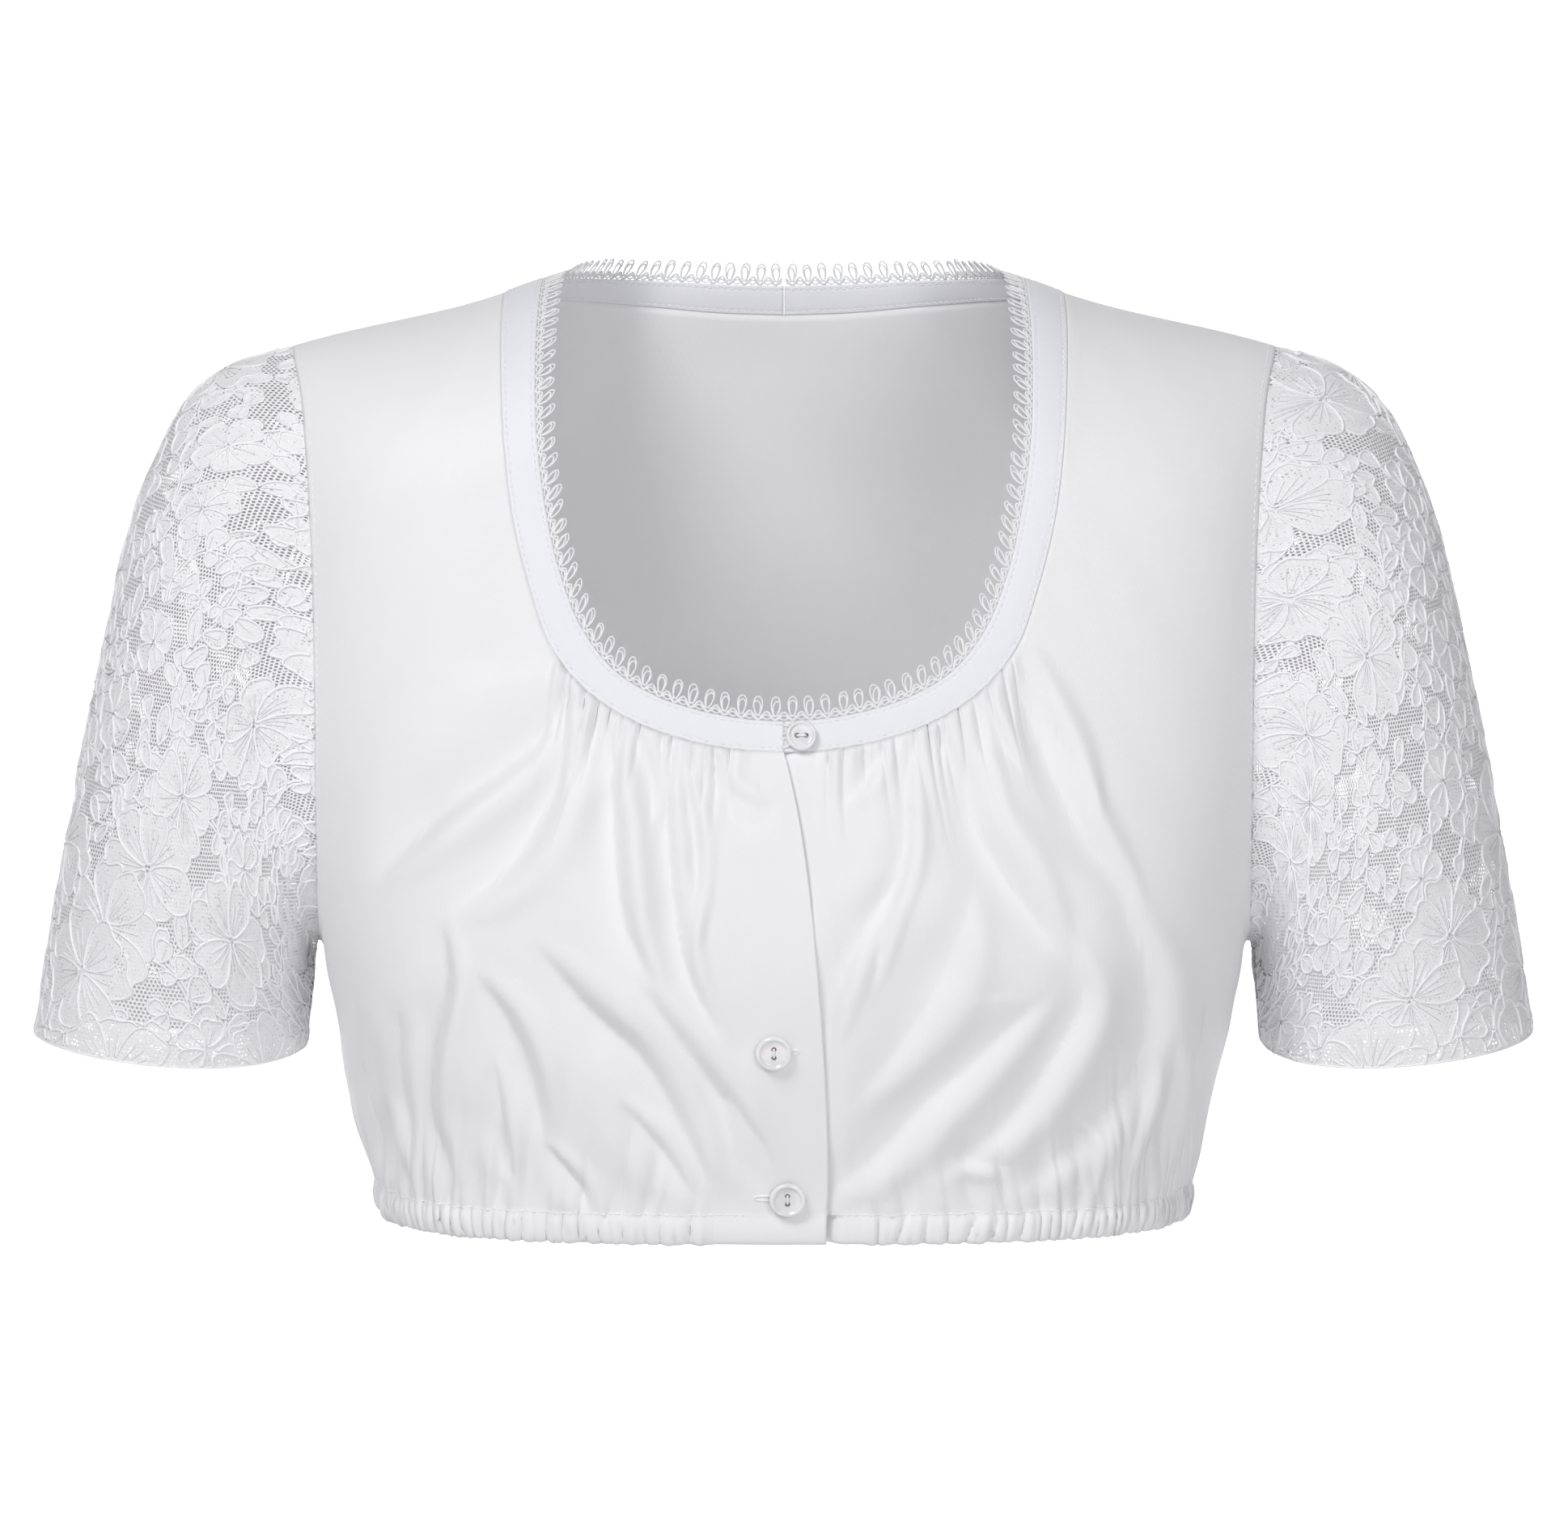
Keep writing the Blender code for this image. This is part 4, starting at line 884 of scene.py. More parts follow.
def neckBand(side, piece):
    s = bandSettings
    low, high, across, normals = bandRails(piece)
    for rail in (low, high):
        rail[:, 0] = piece["side"] * np.maximum(piece["side"] * rail[:, 0], s["gap"])
    share, height = s["profile"]["share"], s["profile"]["height"]
    along = lengthsAlong(high)
    share = np.concatenate([share, share[::-1]])
    height = np.concatenate([height, -height[::-1]])
    t = share[None, :, None]
    middle = low[:, None] * (1 - t) + high[:, None] * t
    out = unit(normals[0][:, None] * (1 - t) + normals[1][:, None] * t)
    drawn = ease((along - 12) / 10) * ease((96 - along) / 14)
    ripple = s["ripple"] * puckers(along / 6.4 + wander(along * 0.08, piece["seed"], 0.2), 0.8) * drawn
    lift = height[None] + ripple[:, None] * np.clip(1 - share / 0.4, 0, 1)[None] * (height > 0)[None]
    points = middle + out * lift[..., None]
    rows, columns = points.shape[:2]
    faces = [gridFaces(rows, columns, closedColumns=True)]
    half = columns // 2
    i = np.arange(half - 1)
    cap = np.stack([i, columns - 1 - i, columns - 2 - i, i + 1], -1)
    faces += [cap, cap[:, ::-1] + (rows - 1) * columns]
    faces = np.concatenate(faces)
    uv = np.stack(np.broadcast_arrays(along[:, None], share[None] * 10.8), -1).reshape(-1, 2)
    made = makePiece("neck_band_" + side + "_cloth", points.reshape(-1, 3), faces, bandCotton,
                     uv=cornerValues(uv, faces), flip=piece["side"] < 0)
    dress(made, "band_cotton", "neck_band_" + side)
    seams = []
    for part in s["stitchShares"]:
        line = low * (1 - part) + high * part
        out = unit(normals[0] * (1 - part) + normals[1] * part)
        seams.append((line + out * 0.6, out))
        inside = slice(s["frontStations"] - 30, None)
        seams.append(((line - out * 0.6)[inside], -out[inside]))
    return made, seams, (high, across, normals[1])


picotSettings = {
    "count": 64, "top": 8.7, "foot": 1.9, "loopWidth": 1.7, "points": 18, "cord": 0.33, "footCord": 0.42,
    # threads of the foot, height, swing, phase and cord: two arch between the loops and one
    # crosses under each loop
    "footThreads": ((1.75, 1.4, 0.0, "footCord"), (1.1, 0.95, 0.0, "cord"), (1.15, 0.75, math.pi, "cord")),
}


def picotLace(side, piece, rail):
    # loops of two threads on a wavy foot: a loop is a drop whose width grows with its height
    s = picotSettings
    high = rail[0]
    along = lengthsAlong(high)
    both = np.concatenate(rail, axis=1)

    def placed(way, up, out):
        read = readLine(way, along, both)
        return read[:, :3] + read[:, 3:6] * up[:, None] + read[:, 6:] * out[:, None], read[:, 6:]

    pitch = along[-1] / s["count"]
    rng = np.random.default_rng(piece["seed"] + 40)
    lines, radii = [], []
    turn = np.linspace(0.12, 2 * math.pi - 0.12, s["points"])
    rise = (1 - np.cos(turn)) / 2
    for k in range(s["count"]):
        middle = (k + 0.5) * pitch + rng.normal(0, 0.12)
        for size in (1.0, 0.8):
            tall = (s["top"] - s["foot"]) * size * (1 + rng.normal(0, 0.03))
            lean = rng.normal(0, 0.22)
            wide = s["loopWidth"] * size * np.sin(turn) * (0.55 + 0.62 * rise)
            lines.append(placed(middle - wide + lean * rise * 2, s["foot"] - 0.5 + tall * rise,
                                0.3 * (1 - size) + 0.12 * np.cos(turn)))
            radii.append(s["cord"])
    way = np.arange(0, along[-1], 0.75)
    phase = 2 * math.pi * way / pitch
    for height, swing, shift, cord in s["footThreads"]:
        lines.append(placed(way, height + swing * np.cos(phase + shift), 0.12 * np.sin(2 * phase)))
        radii.append(s[cord])
    points, faces = tubes(lines, radii, 5)
    return dress(makePiece("picot_lace_" + side, points, faces, picotCord), "picot_lace", "neck_lace_" + side)


def cordMaterial(name, colour, spacing):
    # Mercerised cotton cord, twisted: slightly glossy ridges that run round it. The twist is
    # drawn at half a millimetre so that it shows.
    made, tree, shader = newMaterial(name, colour, 0.55, Sheen_Weight=0.2)
    place = addNode(tree, "TexCoord", {}, "Object")
    twist = addNode(tree, "TexWave", {"Vector": place, "Scale": bandScale(spacing), "Distortion": 3.0,
                                      "Detail": 2.0, "Detail Scale": 3.0}, "Fac", bands_direction="DIAGONAL")
    setInputs(tree, shader, {
        "Normal": addNode(tree, "Bump", {"Height": twist, "Strength": 0.35, "Distance": 0.0001})})
    return made


picotCord = cordMaterial("picotCord", "#f2f2f4", 0.5)
laceCord = cordMaterial("laceCord", "#fbfafc", 0.6)

seamLines = []
for side in ("right", "left"):
    piece = frontPieces["front_" + side]
    band, lines, rail = neckBand(side, piece)
    seamLines += lines
    lace = picotLace(side, piece, rail)
print("neck band and picots made")


# sleeves of corded flower lace

sleeveSettings = {
    "outer": tableOf(("out", "height"), [
        (174.6, -10.6), (183.5, -12.9), (193.5, -16.2), (202.6, -21.2), (210.2, -27.2), (216.0, -34.6),
        (220.4, -42.6), (224.8, -51.6), (229.4, -63.4), (233.7, -77.4), (240.6, -106.3), (246.7, -135.3),
        (252.5, -164.3), (258.0, -193.4), (263.3, -222.6), (268.8, -254.0)]),
    "inner": tableOf(("out", "height"), [
        (165.5, -222.6), (168.8, -223.0), (169.5, -227.0), (169.9, -236.0), (170.7, -248.0),
        (171.6, -259.6)]),
    "depth": tableOf(("share", "depth"), [(0, 51), (0.3, 58), (0.6, 59), (0.85, 55), (1.0, 52.5)]),
    "cuffDip": 5.0, "stations": 121, "rings": 190, "clothwork": 0.14,
    # radii of the cords round the motifs, in their middles and along the cuff; their height
    # over the net and the length of their pieces
    "cord": 0.46, "vein": 0.32, "edgeCord": 0.42, "raised": 0.3, "step": 1.95,
}


def sleeveGrid(s):
    # rings from the armhole to the cuff, each half way between the outer and inner line and
    # as deep as the table says, drawn to the armhole's own line at the top
    lines = []
    for face in ("front", "back"):
        share = np.linspace(0, 1, s["stations"])
        lines.append(formPoint(*readEdge(edgeOf(form["armhole"], face, 400), share), face))
    line = np.concatenate([lines[0], lines[1][-2:0:-1]])
    top = s["stations"] - 1
    line[0] = (s["inner"]["out"][0], 0, s["inner"]["height"][0])
    line[top] = (s["outer"]["out"][0], 0, s["outer"]["height"][0])
    along = np.linspace(0, 1, s["rings"])
    sides = []
    for key in ("outer", "inner"):
        edge = np.stack([s[key]["out"], s[key]["height"]], -1)
        length = lengthsAlong(edge)
        sides.append(np.stack([smoothLine(length, edge[:, k], along * length[-1]) for k in (0, 1)], -1))
    length = lengthsAlong(np.concatenate([line, line[:1]]))
    turn = np.where(np.arange(len(line)) <= top, math.pi * length[:-1] / length[top],
                    math.pi + math.pi * (length[:-1] - length[top]) / (length[-1] - length[top]))
    middle, half = (sides[0] + sides[1]) / 2, (sides[0] - sides[1]) / 2
    flat = middle[:, None] - half[:, None] * np.cos(turn)[None, :, None]
    dip = s["cuffDip"] * np.abs(np.sin(turn))[None] * (1 + 0.35 * np.cos(turn))[None] * along[:, None] ** 3
    depth = smoothLine(s["depth"]["share"], s["depth"]["depth"], along)
    rings = np.stack([flat[..., 0], -depth[:, None] * np.sin(turn)[None], flat[..., 1] - dip], -1)
    shift = line - rings[0]
    return rings + shift[None] * (1 - ease(along / 0.7))[:, None, None]


def readGrid(values, r, c):
    # bilinear reading of a grid at fractional rows and columns
    r, c = np.clip(r, 0, values.shape[0] - 1.001), np.clip(c, 0, values.shape[1] - 1.001)
    i, j = r.astype(int), c.astype(int)
    fr, fc = (r - i)[:, None], (c - j)[:, None]
    return ((values[i, j] * (1 - fc) + values[i, j + 1] * fc) * (1 - fr)
            + (values[i + 1, j] * (1 - fc) + values[i + 1, j + 1] * fc) * fr)


def findPlaces(uv, want):
    # rows and columns of the sleeve's grid where its flat pattern has the wanted places:
    # a few rounds of correcting by the local size of a cell
    rows, columns = uv.shape[:2]
    r = np.full(len(want), rows * 0.6)
    c = np.clip(columns / 2 + want[:, 0] / 400 * columns, 0, columns - 1)
    cells = np.stack([np.maximum(np.gradient(uv[..., 0], axis=1), 0.3),
                      np.minimum(np.gradient(uv[..., 1], axis=0), -0.1)], -1)
    for _ in range(26):
        here, cell = readGrid(uv, r, c), readGrid(cells, r, c)
        c = np.clip(c + 0.8 * (want[:, 0] - here[:, 0]) / cell[:, 0], -2, columns + 1)
        r = np.clip(r + 0.8 * (want[:, 1] - here[:, 1]) / cell[:, 1], -2, rows + 1)
    inside = (r > 0) & (r < rows - 1) & (c > 0) & (c < columns - 1)
    here = readGrid(uv, r, c)
    return r, c, inside & (np.abs(here - want).max(axis=1) < 0.6)


def heading(angle):
    return np.array([math.cos(angle), math.sin(angle)])


def along(base, angle, out, side):
    # places that lie out along an angle and to the side of it
    return base + np.stack([out * math.cos(angle) - side * math.sin(angle),
                            out * math.sin(angle) + side * math.cos(angle)], -1)


def petal(base, angle, length, width, rng, notch=0.06, ripple=0.04, count=36, point=0.0):
    # a drop that widens outwards: along by the cosine, across by the sine, with a dent at its tip
    a = fullTurn(count)
    q = (1 - np.cos(a)) / 2
    uneven = 1 + ripple * (np.sin(3 * a + rng.uniform(0, 6)) + 0.7 * np.sin(5 * a + rng.uniform(0, 6)))
    out = length * q * (1 - notch * np.exp(-((a - math.pi) / 0.34) ** 2)) * uneven
    side = width / 2 * np.sin(a) * (0.45 + 0.85 * q * (1 - point * q)) * uneven
    return along(base, angle, out, side)


def veinsOf(base, angle, length, width, count=1):
    # lines that fan out from the foot of a petal
    lines = []
    for k in range(count):
        share = (k - (count - 1) / 2) / count
        t = np.linspace(0.08, 0.62 - 0.2 * abs(share), 8)
        lines.append(along(base, angle, length * t, share * width * 0.9 * t ** 0.8))
    return lines


def lobe(base, angle, length, width, rng, veins=1, **shape):
    return petal(base, angle, length, width, rng, **shape), veinsOf(base, angle, length, width, veins)


def lily(place, turn, size, rng):
    # petals of two lengths round a small eye, every other one in front
    shapes = []
    for k in (0, 2, 4, 6, 1, 3, 5):
        angle = turn + 2 * math.pi * k / 7 + rng.normal(0, 0.08)
        length, width = size * rng.uniform(0.82, 1.05), size * rng.uniform(0.6, 0.78)
        shapes.append(lobe(place + 1.4 * heading(angle), angle, length, width, rng, 3, notch=0.12))
    return shapes


def blossom(place, turn, size, rng):
    # five short petals
    shapes = []
    for k in range(5):
        angle = turn + 2 * math.pi * k / 5 + rng.normal(0, 0.06)
        shapes.append(lobe(place + heading(angle), angle, size, size * 0.95, rng, notch=0.1, count=28))
    return shapes


def garland(place, turn, size, rng):
    # a curved double stem with round lobes on its outer side and small ones inside
    sweep = rng.uniform(2.6, 4.0)
    shapes, bow = [], rng.choice([-1, 1])
    count = int(round(sweep * size / 8.5))
    for k in range(count):
        angle = turn + bow * sweep * (k + 0.5) / count
        base = place + size * heading(angle)
        long = rng.uniform(8.5, 11.5)
        lean = bow * rng.uniform(0.1, 0.4)
        outer = petal(base, angle + lean, long, long * 0.98, rng, count=26)
        shapes.append((outer, veinsOf(base, angle, long, long)))
        if k % 2 == 0:
            inner = petal(base, angle + math.pi - bow * 0.6, long * 0.8, long * 0.6, rng, count=22)
            shapes.append((inner, []))
    angles = turn + bow * np.linspace(-0.25, sweep + 0.1, 60)
    stems = [place + (size + d) * np.stack([np.cos(angles), np.sin(angles)], -1) for d in (0.7, -0.8)]
    return shapes + [(None, stems)]


def spray(place, turn, size, rng):
    # leaves in pairs on a bent stem
    t = np.linspace(-1, 1, 40)
    bow = rng.uniform(-0.5, 0.5)
    stem = along(place, turn, size * t, size * bow * (1 - t * t))
    shapes = []
    for k in range(6):
        i = 4 + 6 * k
        side = 1 if k % 2 else -1
        lean = math.atan2(-2 * bow * t[i], 1.0) + side * rng.uniform(0.7, 1.0)
        long = rng.uniform(0.5, 0.68) * size
        shapes.append(lobe(stem[i], lean + turn, long, long * 0.62, rng, notch=0, ripple=0.03, count=26,
                           point=0.45))
    return shapes + [(None, [stem])]


def filler(place, turn, size, rng):
    # a pair or three of small lobes for the gaps between motifs
    shapes = []
    count = rng.integers(2, 4)
    for k in range(count):
        angle = turn + 2 * math.pi * k / count + rng.normal(0, 0.2)
        shapes.append(lobe(place, angle, size, size * 0.85, rng, count=22))
    return shapes


def meeting(front, low, high):
    # outlines in front whose boxes overlap the one from low to high
    count = len(front["outlines"])
    meets = (front["lows"][:count] < high) & (front["highs"][:count] > low)
    return [front["outlines"][k] for k in np.where(meets.all(axis=1))[0]]


def covered(place, front):
    # whether at least two of a place and four round it lie in motifs
    ring = place + 3.2 * np.array([(0, 0), (1, 0), (-1, 0), (0, 1), (0, -1)])
    return sum(inOutline(ring, outline).sum() for outline in meeting(front, place - 4, place + 4)) > 1


def runsOf(flags, shortest):
    # stretches of indices over which the flags hold
    parts = np.split(np.arange(len(flags)), np.where(np.diff(flags.astype(int)) != 0)[0] + 1)
    return [part for part in parts if len(part) >= shortest and flags[part[0]]]


def inOutline(points, outline):
    # even and odd crossings of a level line with the outline
    x, y = points[:, :1], points[:, 1:]
    a, b = outline, np.roll(outline, -1, axis=0)
    crosses = (a[:, 1] > y) != (b[:, 1] > y)
    at = a[:, 0] + (y - a[:, 1]) * (b[:, 0] - a[:, 0]) / np.where(b[:, 1] == a[:, 1], 1e-9, b[:, 1] - a[:, 1])
    return (crosses & (x < at)).sum(axis=1) % 2 == 1


laceSettings = {
    "halfWidth": 250, "height": 300,    # of the flat pattern
    "pitch": 31.0, "rowPitch": 31.0 * 0.82,
    "sizes": {lily: 23, garland: 16, spray: 21, blossom: 12},
    "order": (lily, garland, spray, blossom, garland, lily, spray),
    "cuffPitch": 17.0, "cuffHeight": 7.0,    # a row of blossoms along the cuff
    "fillerPitch": 15.0, "fillerHalf": 235,
    "mostOutlines": 4000,
}


def lacePattern(seed):
    # motifs on an uneven lattice, the large ones in front; a line is left out where a motif
    # in front covers it
    s = laceSettings
    rng = np.random.default_rng(seed)
    kinds = {lily: [], blossom: [], garland: [], spray: []}
    number = rng.integers(0, 4)
    for i, v in enumerate(np.arange(-6, s["height"], s["rowPitch"])):
        for u in np.arange(-s["halfWidth"], s["halfWidth"] + 1, s["pitch"]):
            place = np.array([u + (i % 2) * s["pitch"] / 2, v]) + rng.normal(0, 3.0, 2)
            kind = s["order"][number % len(s["order"])]
            number += 1 if rng.uniform() < 0.8 else 2
            size = s["sizes"][kind] * rng.uniform(0.9, 1.12)
            kinds[kind].append(kind(place, rng.uniform(0, 2 * math.pi), size, rng))
    for u in np.arange(-s["halfWidth"], s["halfWidth"] + 1, s["cuffPitch"]):
        place = np.array([u, s["cuffHeight"]]) + rng.normal(0, 1.5, 2)
        kinds[blossom].append(blossom(place, rng.uniform(0, 6.28), rng.uniform(9, 12), rng))
    motifs = [(None, shapes) for made in kinds.values() for shapes in made]
    for v in np.arange(4, s["height"], s["fillerPitch"]):
        for u in np.arange(-s["fillerHalf"], s["fillerHalf"] + 1, s["fillerPitch"]):
            place = np.array([u, v]) + rng.normal(0, 2.0, 2)
            motifs.append((place, filler(place, rng.uniform(0, 6.28), rng.uniform(7.5, 10), rng)))
    front = {"outlines": [], "lows": np.zeros((s["mostOutlines"], 2)),
             "highs": np.zeros((s["mostOutlines"], 2))}
    lines = []
    for place, shapes in motifs:
        if place is not None and covered(place, front):
            continue
        for outline, veins in shapes:
            fresh = [(line, "cord" if outline is None else "vein") for line in veins]
            if outline is not None:
                fresh.append((np.append(outline, outline[:1], axis=0), "cord"))
            for line, use in fresh:
                line = evenly(line, 0.8)
                hidden = np.zeros(len(line), bool)
                for cover in meeting(front, line.min(axis=0), line.max(axis=0)):
                    hidden |= inOutline(line, cover)
                lines += [(line[part], use) for part in runsOf(~hidden, 4)]
            if outline is not None:
                count = len(front["outlines"])
                front["lows"][count], front["highs"][count] = outline.min(axis=0), outline.max(axis=0)
                front["outlines"].append(outline)
    return front["outlines"], lines


def depthInside(outlines, uv):
    # distance to the nearest outline, above zero inside a motif and at least -2 outside
    flat = uv.reshape(-1, 2)
    depth = np.full(len(flat), -2.0)
    for outline in outlines:
        near = np.where(((flat > outline.min(axis=0) - 2) & (flat < outline.max(axis=0) + 2)).all(axis=1))[0]
        if not len(near):
            continue
        p = flat[near]
        a, b = outline, np.roll(outline, -1, axis=0)
        way = b - a
        t = np.clip(((p[:, None] - a) * way).sum(-1) / np.maximum((way * way).sum(-1), 1e-9), 0, 1)
        away = np.linalg.norm(p[:, None] - a - t[..., None] * way, axis=-1).min(axis=1)
        depth[near] = np.maximum(depth[near], np.where(inOutline(p, outline), away, -away))
    return depth.reshape(uv.shape[:2])


def sleeve(name, side, seed):
    s = sleeveSettings
    rings = sleeveGrid(s)
    rows, columns = rings.shape[:2]
    # flat pattern: round from the outer line and up from the cuff
    whole = np.concatenate([rings, rings[:, :1]], axis=1)
    around, up = arcLengths(whole, 1), arcLengths(whole, 0)
    uv = np.stack([around - around[:, s["stations"] - 1:s["stations"]], up[-1:] - up], -1)
    normals = gridNormals(rings, closed=True)
    normals = normals * np.sign(np.sum(normals * (rings - rings.mean(axis=1, keepdims=True)), axis=-1).mean())
    soft = wander(rings[..., 2] * 0.05 + rings[..., 1] * 0.03, seed, 0.35)
    soft = soft * ease(np.linspace(0, 8, s["rings"]))[:, None]
    outlines, lines = lacePattern(seed)
    depth = depthInside(outlines, uv)
    clothwork = s["clothwork"] * ease(depth / 0.9 + 0.3)[:, :-1]
    base = rings + normals * soft[..., None]
    mirror = np.array([side, 1.0, 1.0])
    points = (base + normals * clothwork[..., None]) * mirror
    corners = gridFaces(rows, columns + 1)
    net = makePiece(name + "_net", points.reshape(-1, 3), gridFaces(rows, columns, closedColumns=True),
                    cordedLace, uv=cornerValues(uv.reshape(-1, 2), corners),
                    fill=cornerValues(depth.ravel(), corners), flip=side > 0)
    dress(net, "corded_lace", name)
    field = np.concatenate([base, normals], axis=-1)
    field = np.concatenate([field, field[:, :1]], axis=1)
    lines = [(evenly(line, s["step"]), use) for line, use in lines]
    r, c, inside = findPlaces(uv, np.concatenate([line for line, _ in lines]))
    read = readGrid(field, r, c)
    out = unit(read[:, 3:])
    middles, out = (read[:, :3] + out * s["raised"]) * mirror, out * mirror
    cords = {"cord": [], "vein": []}
    start = 0
    for line, use in lines:
        for part in runsOf(inside[start:start + len(line)], 3):
            cords[use].append((middles[start + part], out[start + part]))
        start += len(line)
    cuff = tuple(np.append(grid[-1], grid[-1][:1], axis=0) * mirror for grid in (base, normals))
    points, faces = joined([
        tubes(cords["cord"] + [cuff], [s["cord"]] * len(cords["cord"]) + [s["edgeCord"]], 5),
        tubes(cords["vein"], s["vein"], 3)])
    cord = dress(makePiece(name + "_cords", points, faces, laceCord), "corded_lace")
    print(name, "made", len(net.data.polygons), len(faces))


def netEdge(tree, uv, cell):
    # distance to the edge of a six-sided cell, in cells: the nearer of two offset lattices,
    # with a little noise that makes the net's lines uneven
    tall = math.sqrt(3)
    side, middle = (1.0, tall, 1.0), (0.5, tall / 2, 0.5)
    noise = addNode(tree, "TexNoise", {"Vector": uv, "Scale": 220.0, "Detail": 1.0}, "Color")
    drift = addNode(tree, "VectorMath", {0: noise, 1: (0.0004, 0.0004, 0.0)}, operation="MULTIPLY")
    place = uv
    for kind, value in (("ADD", drift), ("MULTIPLY", (1000 / cell, 1000 / cell, 0.0)),
                        ("ADD", (900.0, 900 * tall, 0.0))):
        place = addNode(tree, "VectorMath", {0: place, 1: value}, operation=kind)
    offsets = []
    for start in ((0.0, 0.0, 0.0), middle):
        offset = place
        for kind, value in (("SUBTRACT", start), ("MODULO", side), ("SUBTRACT", middle),
                            ("MULTIPLY", (1.0, 1.0, 0.0))):
            offset = addNode(tree, "VectorMath", {0: offset, 1: value}, operation=kind)
        offsets.append(offset)
    lengths = [addNode(tree, "VectorMath", {0: offset}, "Value", operation="LENGTH") for offset in offsets]
    nearer = addNode(tree, "Math", {0: lengths[1], 1: lengths[0]}, operation="LESS_THAN")
    chosen = addNode(tree, "Mix", {"Factor": nearer, "A": offsets[0], "B": offsets[1]}, "Result",
                     data_type="VECTOR")
    size = addNode(tree, "VectorMath", {0: chosen}, operation="ABSOLUTE")
    level = addNode(tree, "SeparateXYZ", {0: size}, "X")
    slant = addNode(tree, "VectorMath", {0: size, 1: (0.5, tall / 2, 0.0)}, "Value", operation="DOT_PRODUCT")
    far = addNode(tree, "Math", {0: level, 1: slant}, operation="MAXIMUM")
    return addNode(tree, "Math", {0: 0.5, 1: far}, operation="SUBTRACT")


def laceMaterial():
    # Corded lace: a six-sided net of fine thread with flowers worked over it in close rows of
    # thread. The net's cells are 1.65 mm, the worked parts are opaque with small pinholes.
    made, tree, shader = newMaterial("cordedLace", "#f3f1f4", 0.62, Sheen_Weight=0.2)
    uv = addNode(tree, "UVMap", {}, uv_map="clothUv")
    depth = addNode(tree, "Attribute", {}, "Fac", attribute_name="fill")
    rows = addNode(tree, "TexWave", {"Vector": uv, "Scale": bandScale(0.8), "Distortion": 2.4, "Detail": 2.0,
                                     "Detail Scale": 2.0}, "Fac", bands_direction="DIAGONAL")
    grain = addNode(tree, "TexNoise", {"Vector": uv, "Scale": 900.0, "Detail": 2.0}, "Fac")
    cloud = addNode(tree, "TexNoise", {"Vector": uv, "Scale": 130.0, "Detail": 1.0}, "Fac")
    limits = ("From Min", "From Max", "To Min", "To Max")
    thread, worked, thin = [
        addNode(tree, "MapRange", {"Value": value, **dict(zip(limits, span))})
        for value, span in ((netEdge(tree, uv, 1.65), (0.16, 0.24, 1.0, 0.0)),
                            (depth, (-0.15, 0.1, 0.0, 1.0)), (cloud, (0.52, 0.66, 0.0, 0.13)))]
    closed = addNode(tree, "Math", {0: grain, 1: thin}, operation="SUBTRACT")
    closed = addNode(tree, "MapRange", {"Value": closed, **dict(zip(limits, (0.31, 0.40, 0.25, 1.0)))})
    flowers = addNode(tree, "Math", {0: worked, 1: closed}, operation="MULTIPLY")
    ridges = addNode(tree, "Math", {0: worked, 1: rows}, operation="MULTIPLY")
    height = addNode(tree, "Math", {0: thread, 1: 0.5}, operation="MULTIPLY")
    for part in (grain, ridges):
        height = addNode(tree, "Math", {0: height, 1: part}, operation="ADD")
    setInputs(tree, shader, {
        "Alpha": addNode(tree, "Math", {0: thread, 1: flowers}, operation="MAXIMUM"),
        "Normal": addNode(tree, "Bump", {"Height": height, "Strength": 0.75, "Distance": 0.0002}),
        "Base Color": addNode(tree, "Mix", {"Factor": worked, "A": linear("#f6f4f6"), "B": linear("#f2f2f4")},
                              "Result", data_type="RGBA")})
    return made


cordedLace = laceMaterial()
sleeve("sleeve_right", -1, 21)
sleeve("sleeve_left", 1, 34)


# buttons with their thread, loops and worked buttonholes

buttonSettings = {
    "button_top": {"out": 5.9, "height": -143.8, "radius": 5.2, "turn": 0.0, "on": 1.6, "lift": 0.3},
    "button_middle": {"out": -3.4, "height": -249.9, "radius": 6.1, "turn": 90.0, "on": 1.3, "lift": 0.3},
    "button_bottom": {"out": 1.2, "height": -301.8, "radius": 6.1, "turn": 90.0, "on": 1.3, "lift": 0.7},
}
buttonProfile = tableOf(("share", "height"), [
    (0.02, 0), (0.5, 0), (0.84, 0.0), (0.93, 0.2), (0.985, 0.6), (1.0, 1.1), (0.995, 1.6),
    (0.965, 2.05), (0.92, 2.33), (0.87, 2.42), (0.82, 2.33), (0.77, 2.05), (0.73, 1.72),
    (0.68, 1.53), (0.6, 1.45), (0.3, 1.4), (0.02, 1.4)])
# the thread from hole to hole: out from the middle and height over the foot
threadLine = tableOf(("out", "height"), [
    (-1.62, 0.2), (-1.45, 1.25), (-1.0, 1.66), (0.0, 1.74), (1.0, 1.66), (1.45, 1.25), (1.62, 0.2)])
drillProfile = tableOf(("share", "height"), [(0.9, -2.0), (0.9, 4.0)])
holeOut = 1.5


def buttonFrame(s):
    # foot of a button on the front, directions along and across its holes, and outwards
    point, normal = onFront(np.array(s["out"]), np.array(s["height"]))
    foot = point + normal * (s["on"] / 2 + s["lift"])
    across = unit(np.cross(np.array([0, 0, 1.0]), normal))
    turn = math.radians(s["turn"])
    first = across * math.cos(turn) + np.cross(normal, across) * math.sin(turn)
    return foot, first, np.cross(normal, first), normal


def turned(profile, radius, sides, foot, first, second, normal):
    # a profile carried round the button's axis
    turn = fullTurn(sides)[None, :, None]
    r, h = profile["share"] * radius, profile["height"]
    ring = np.cos(turn) * first + np.sin(turn) * second
    points = foot + r[:, None, None] * ring + h[:, None, None] * normal
    return points.reshape(-1, 3), gridFaces(len(r), sides, closedColumns=True)


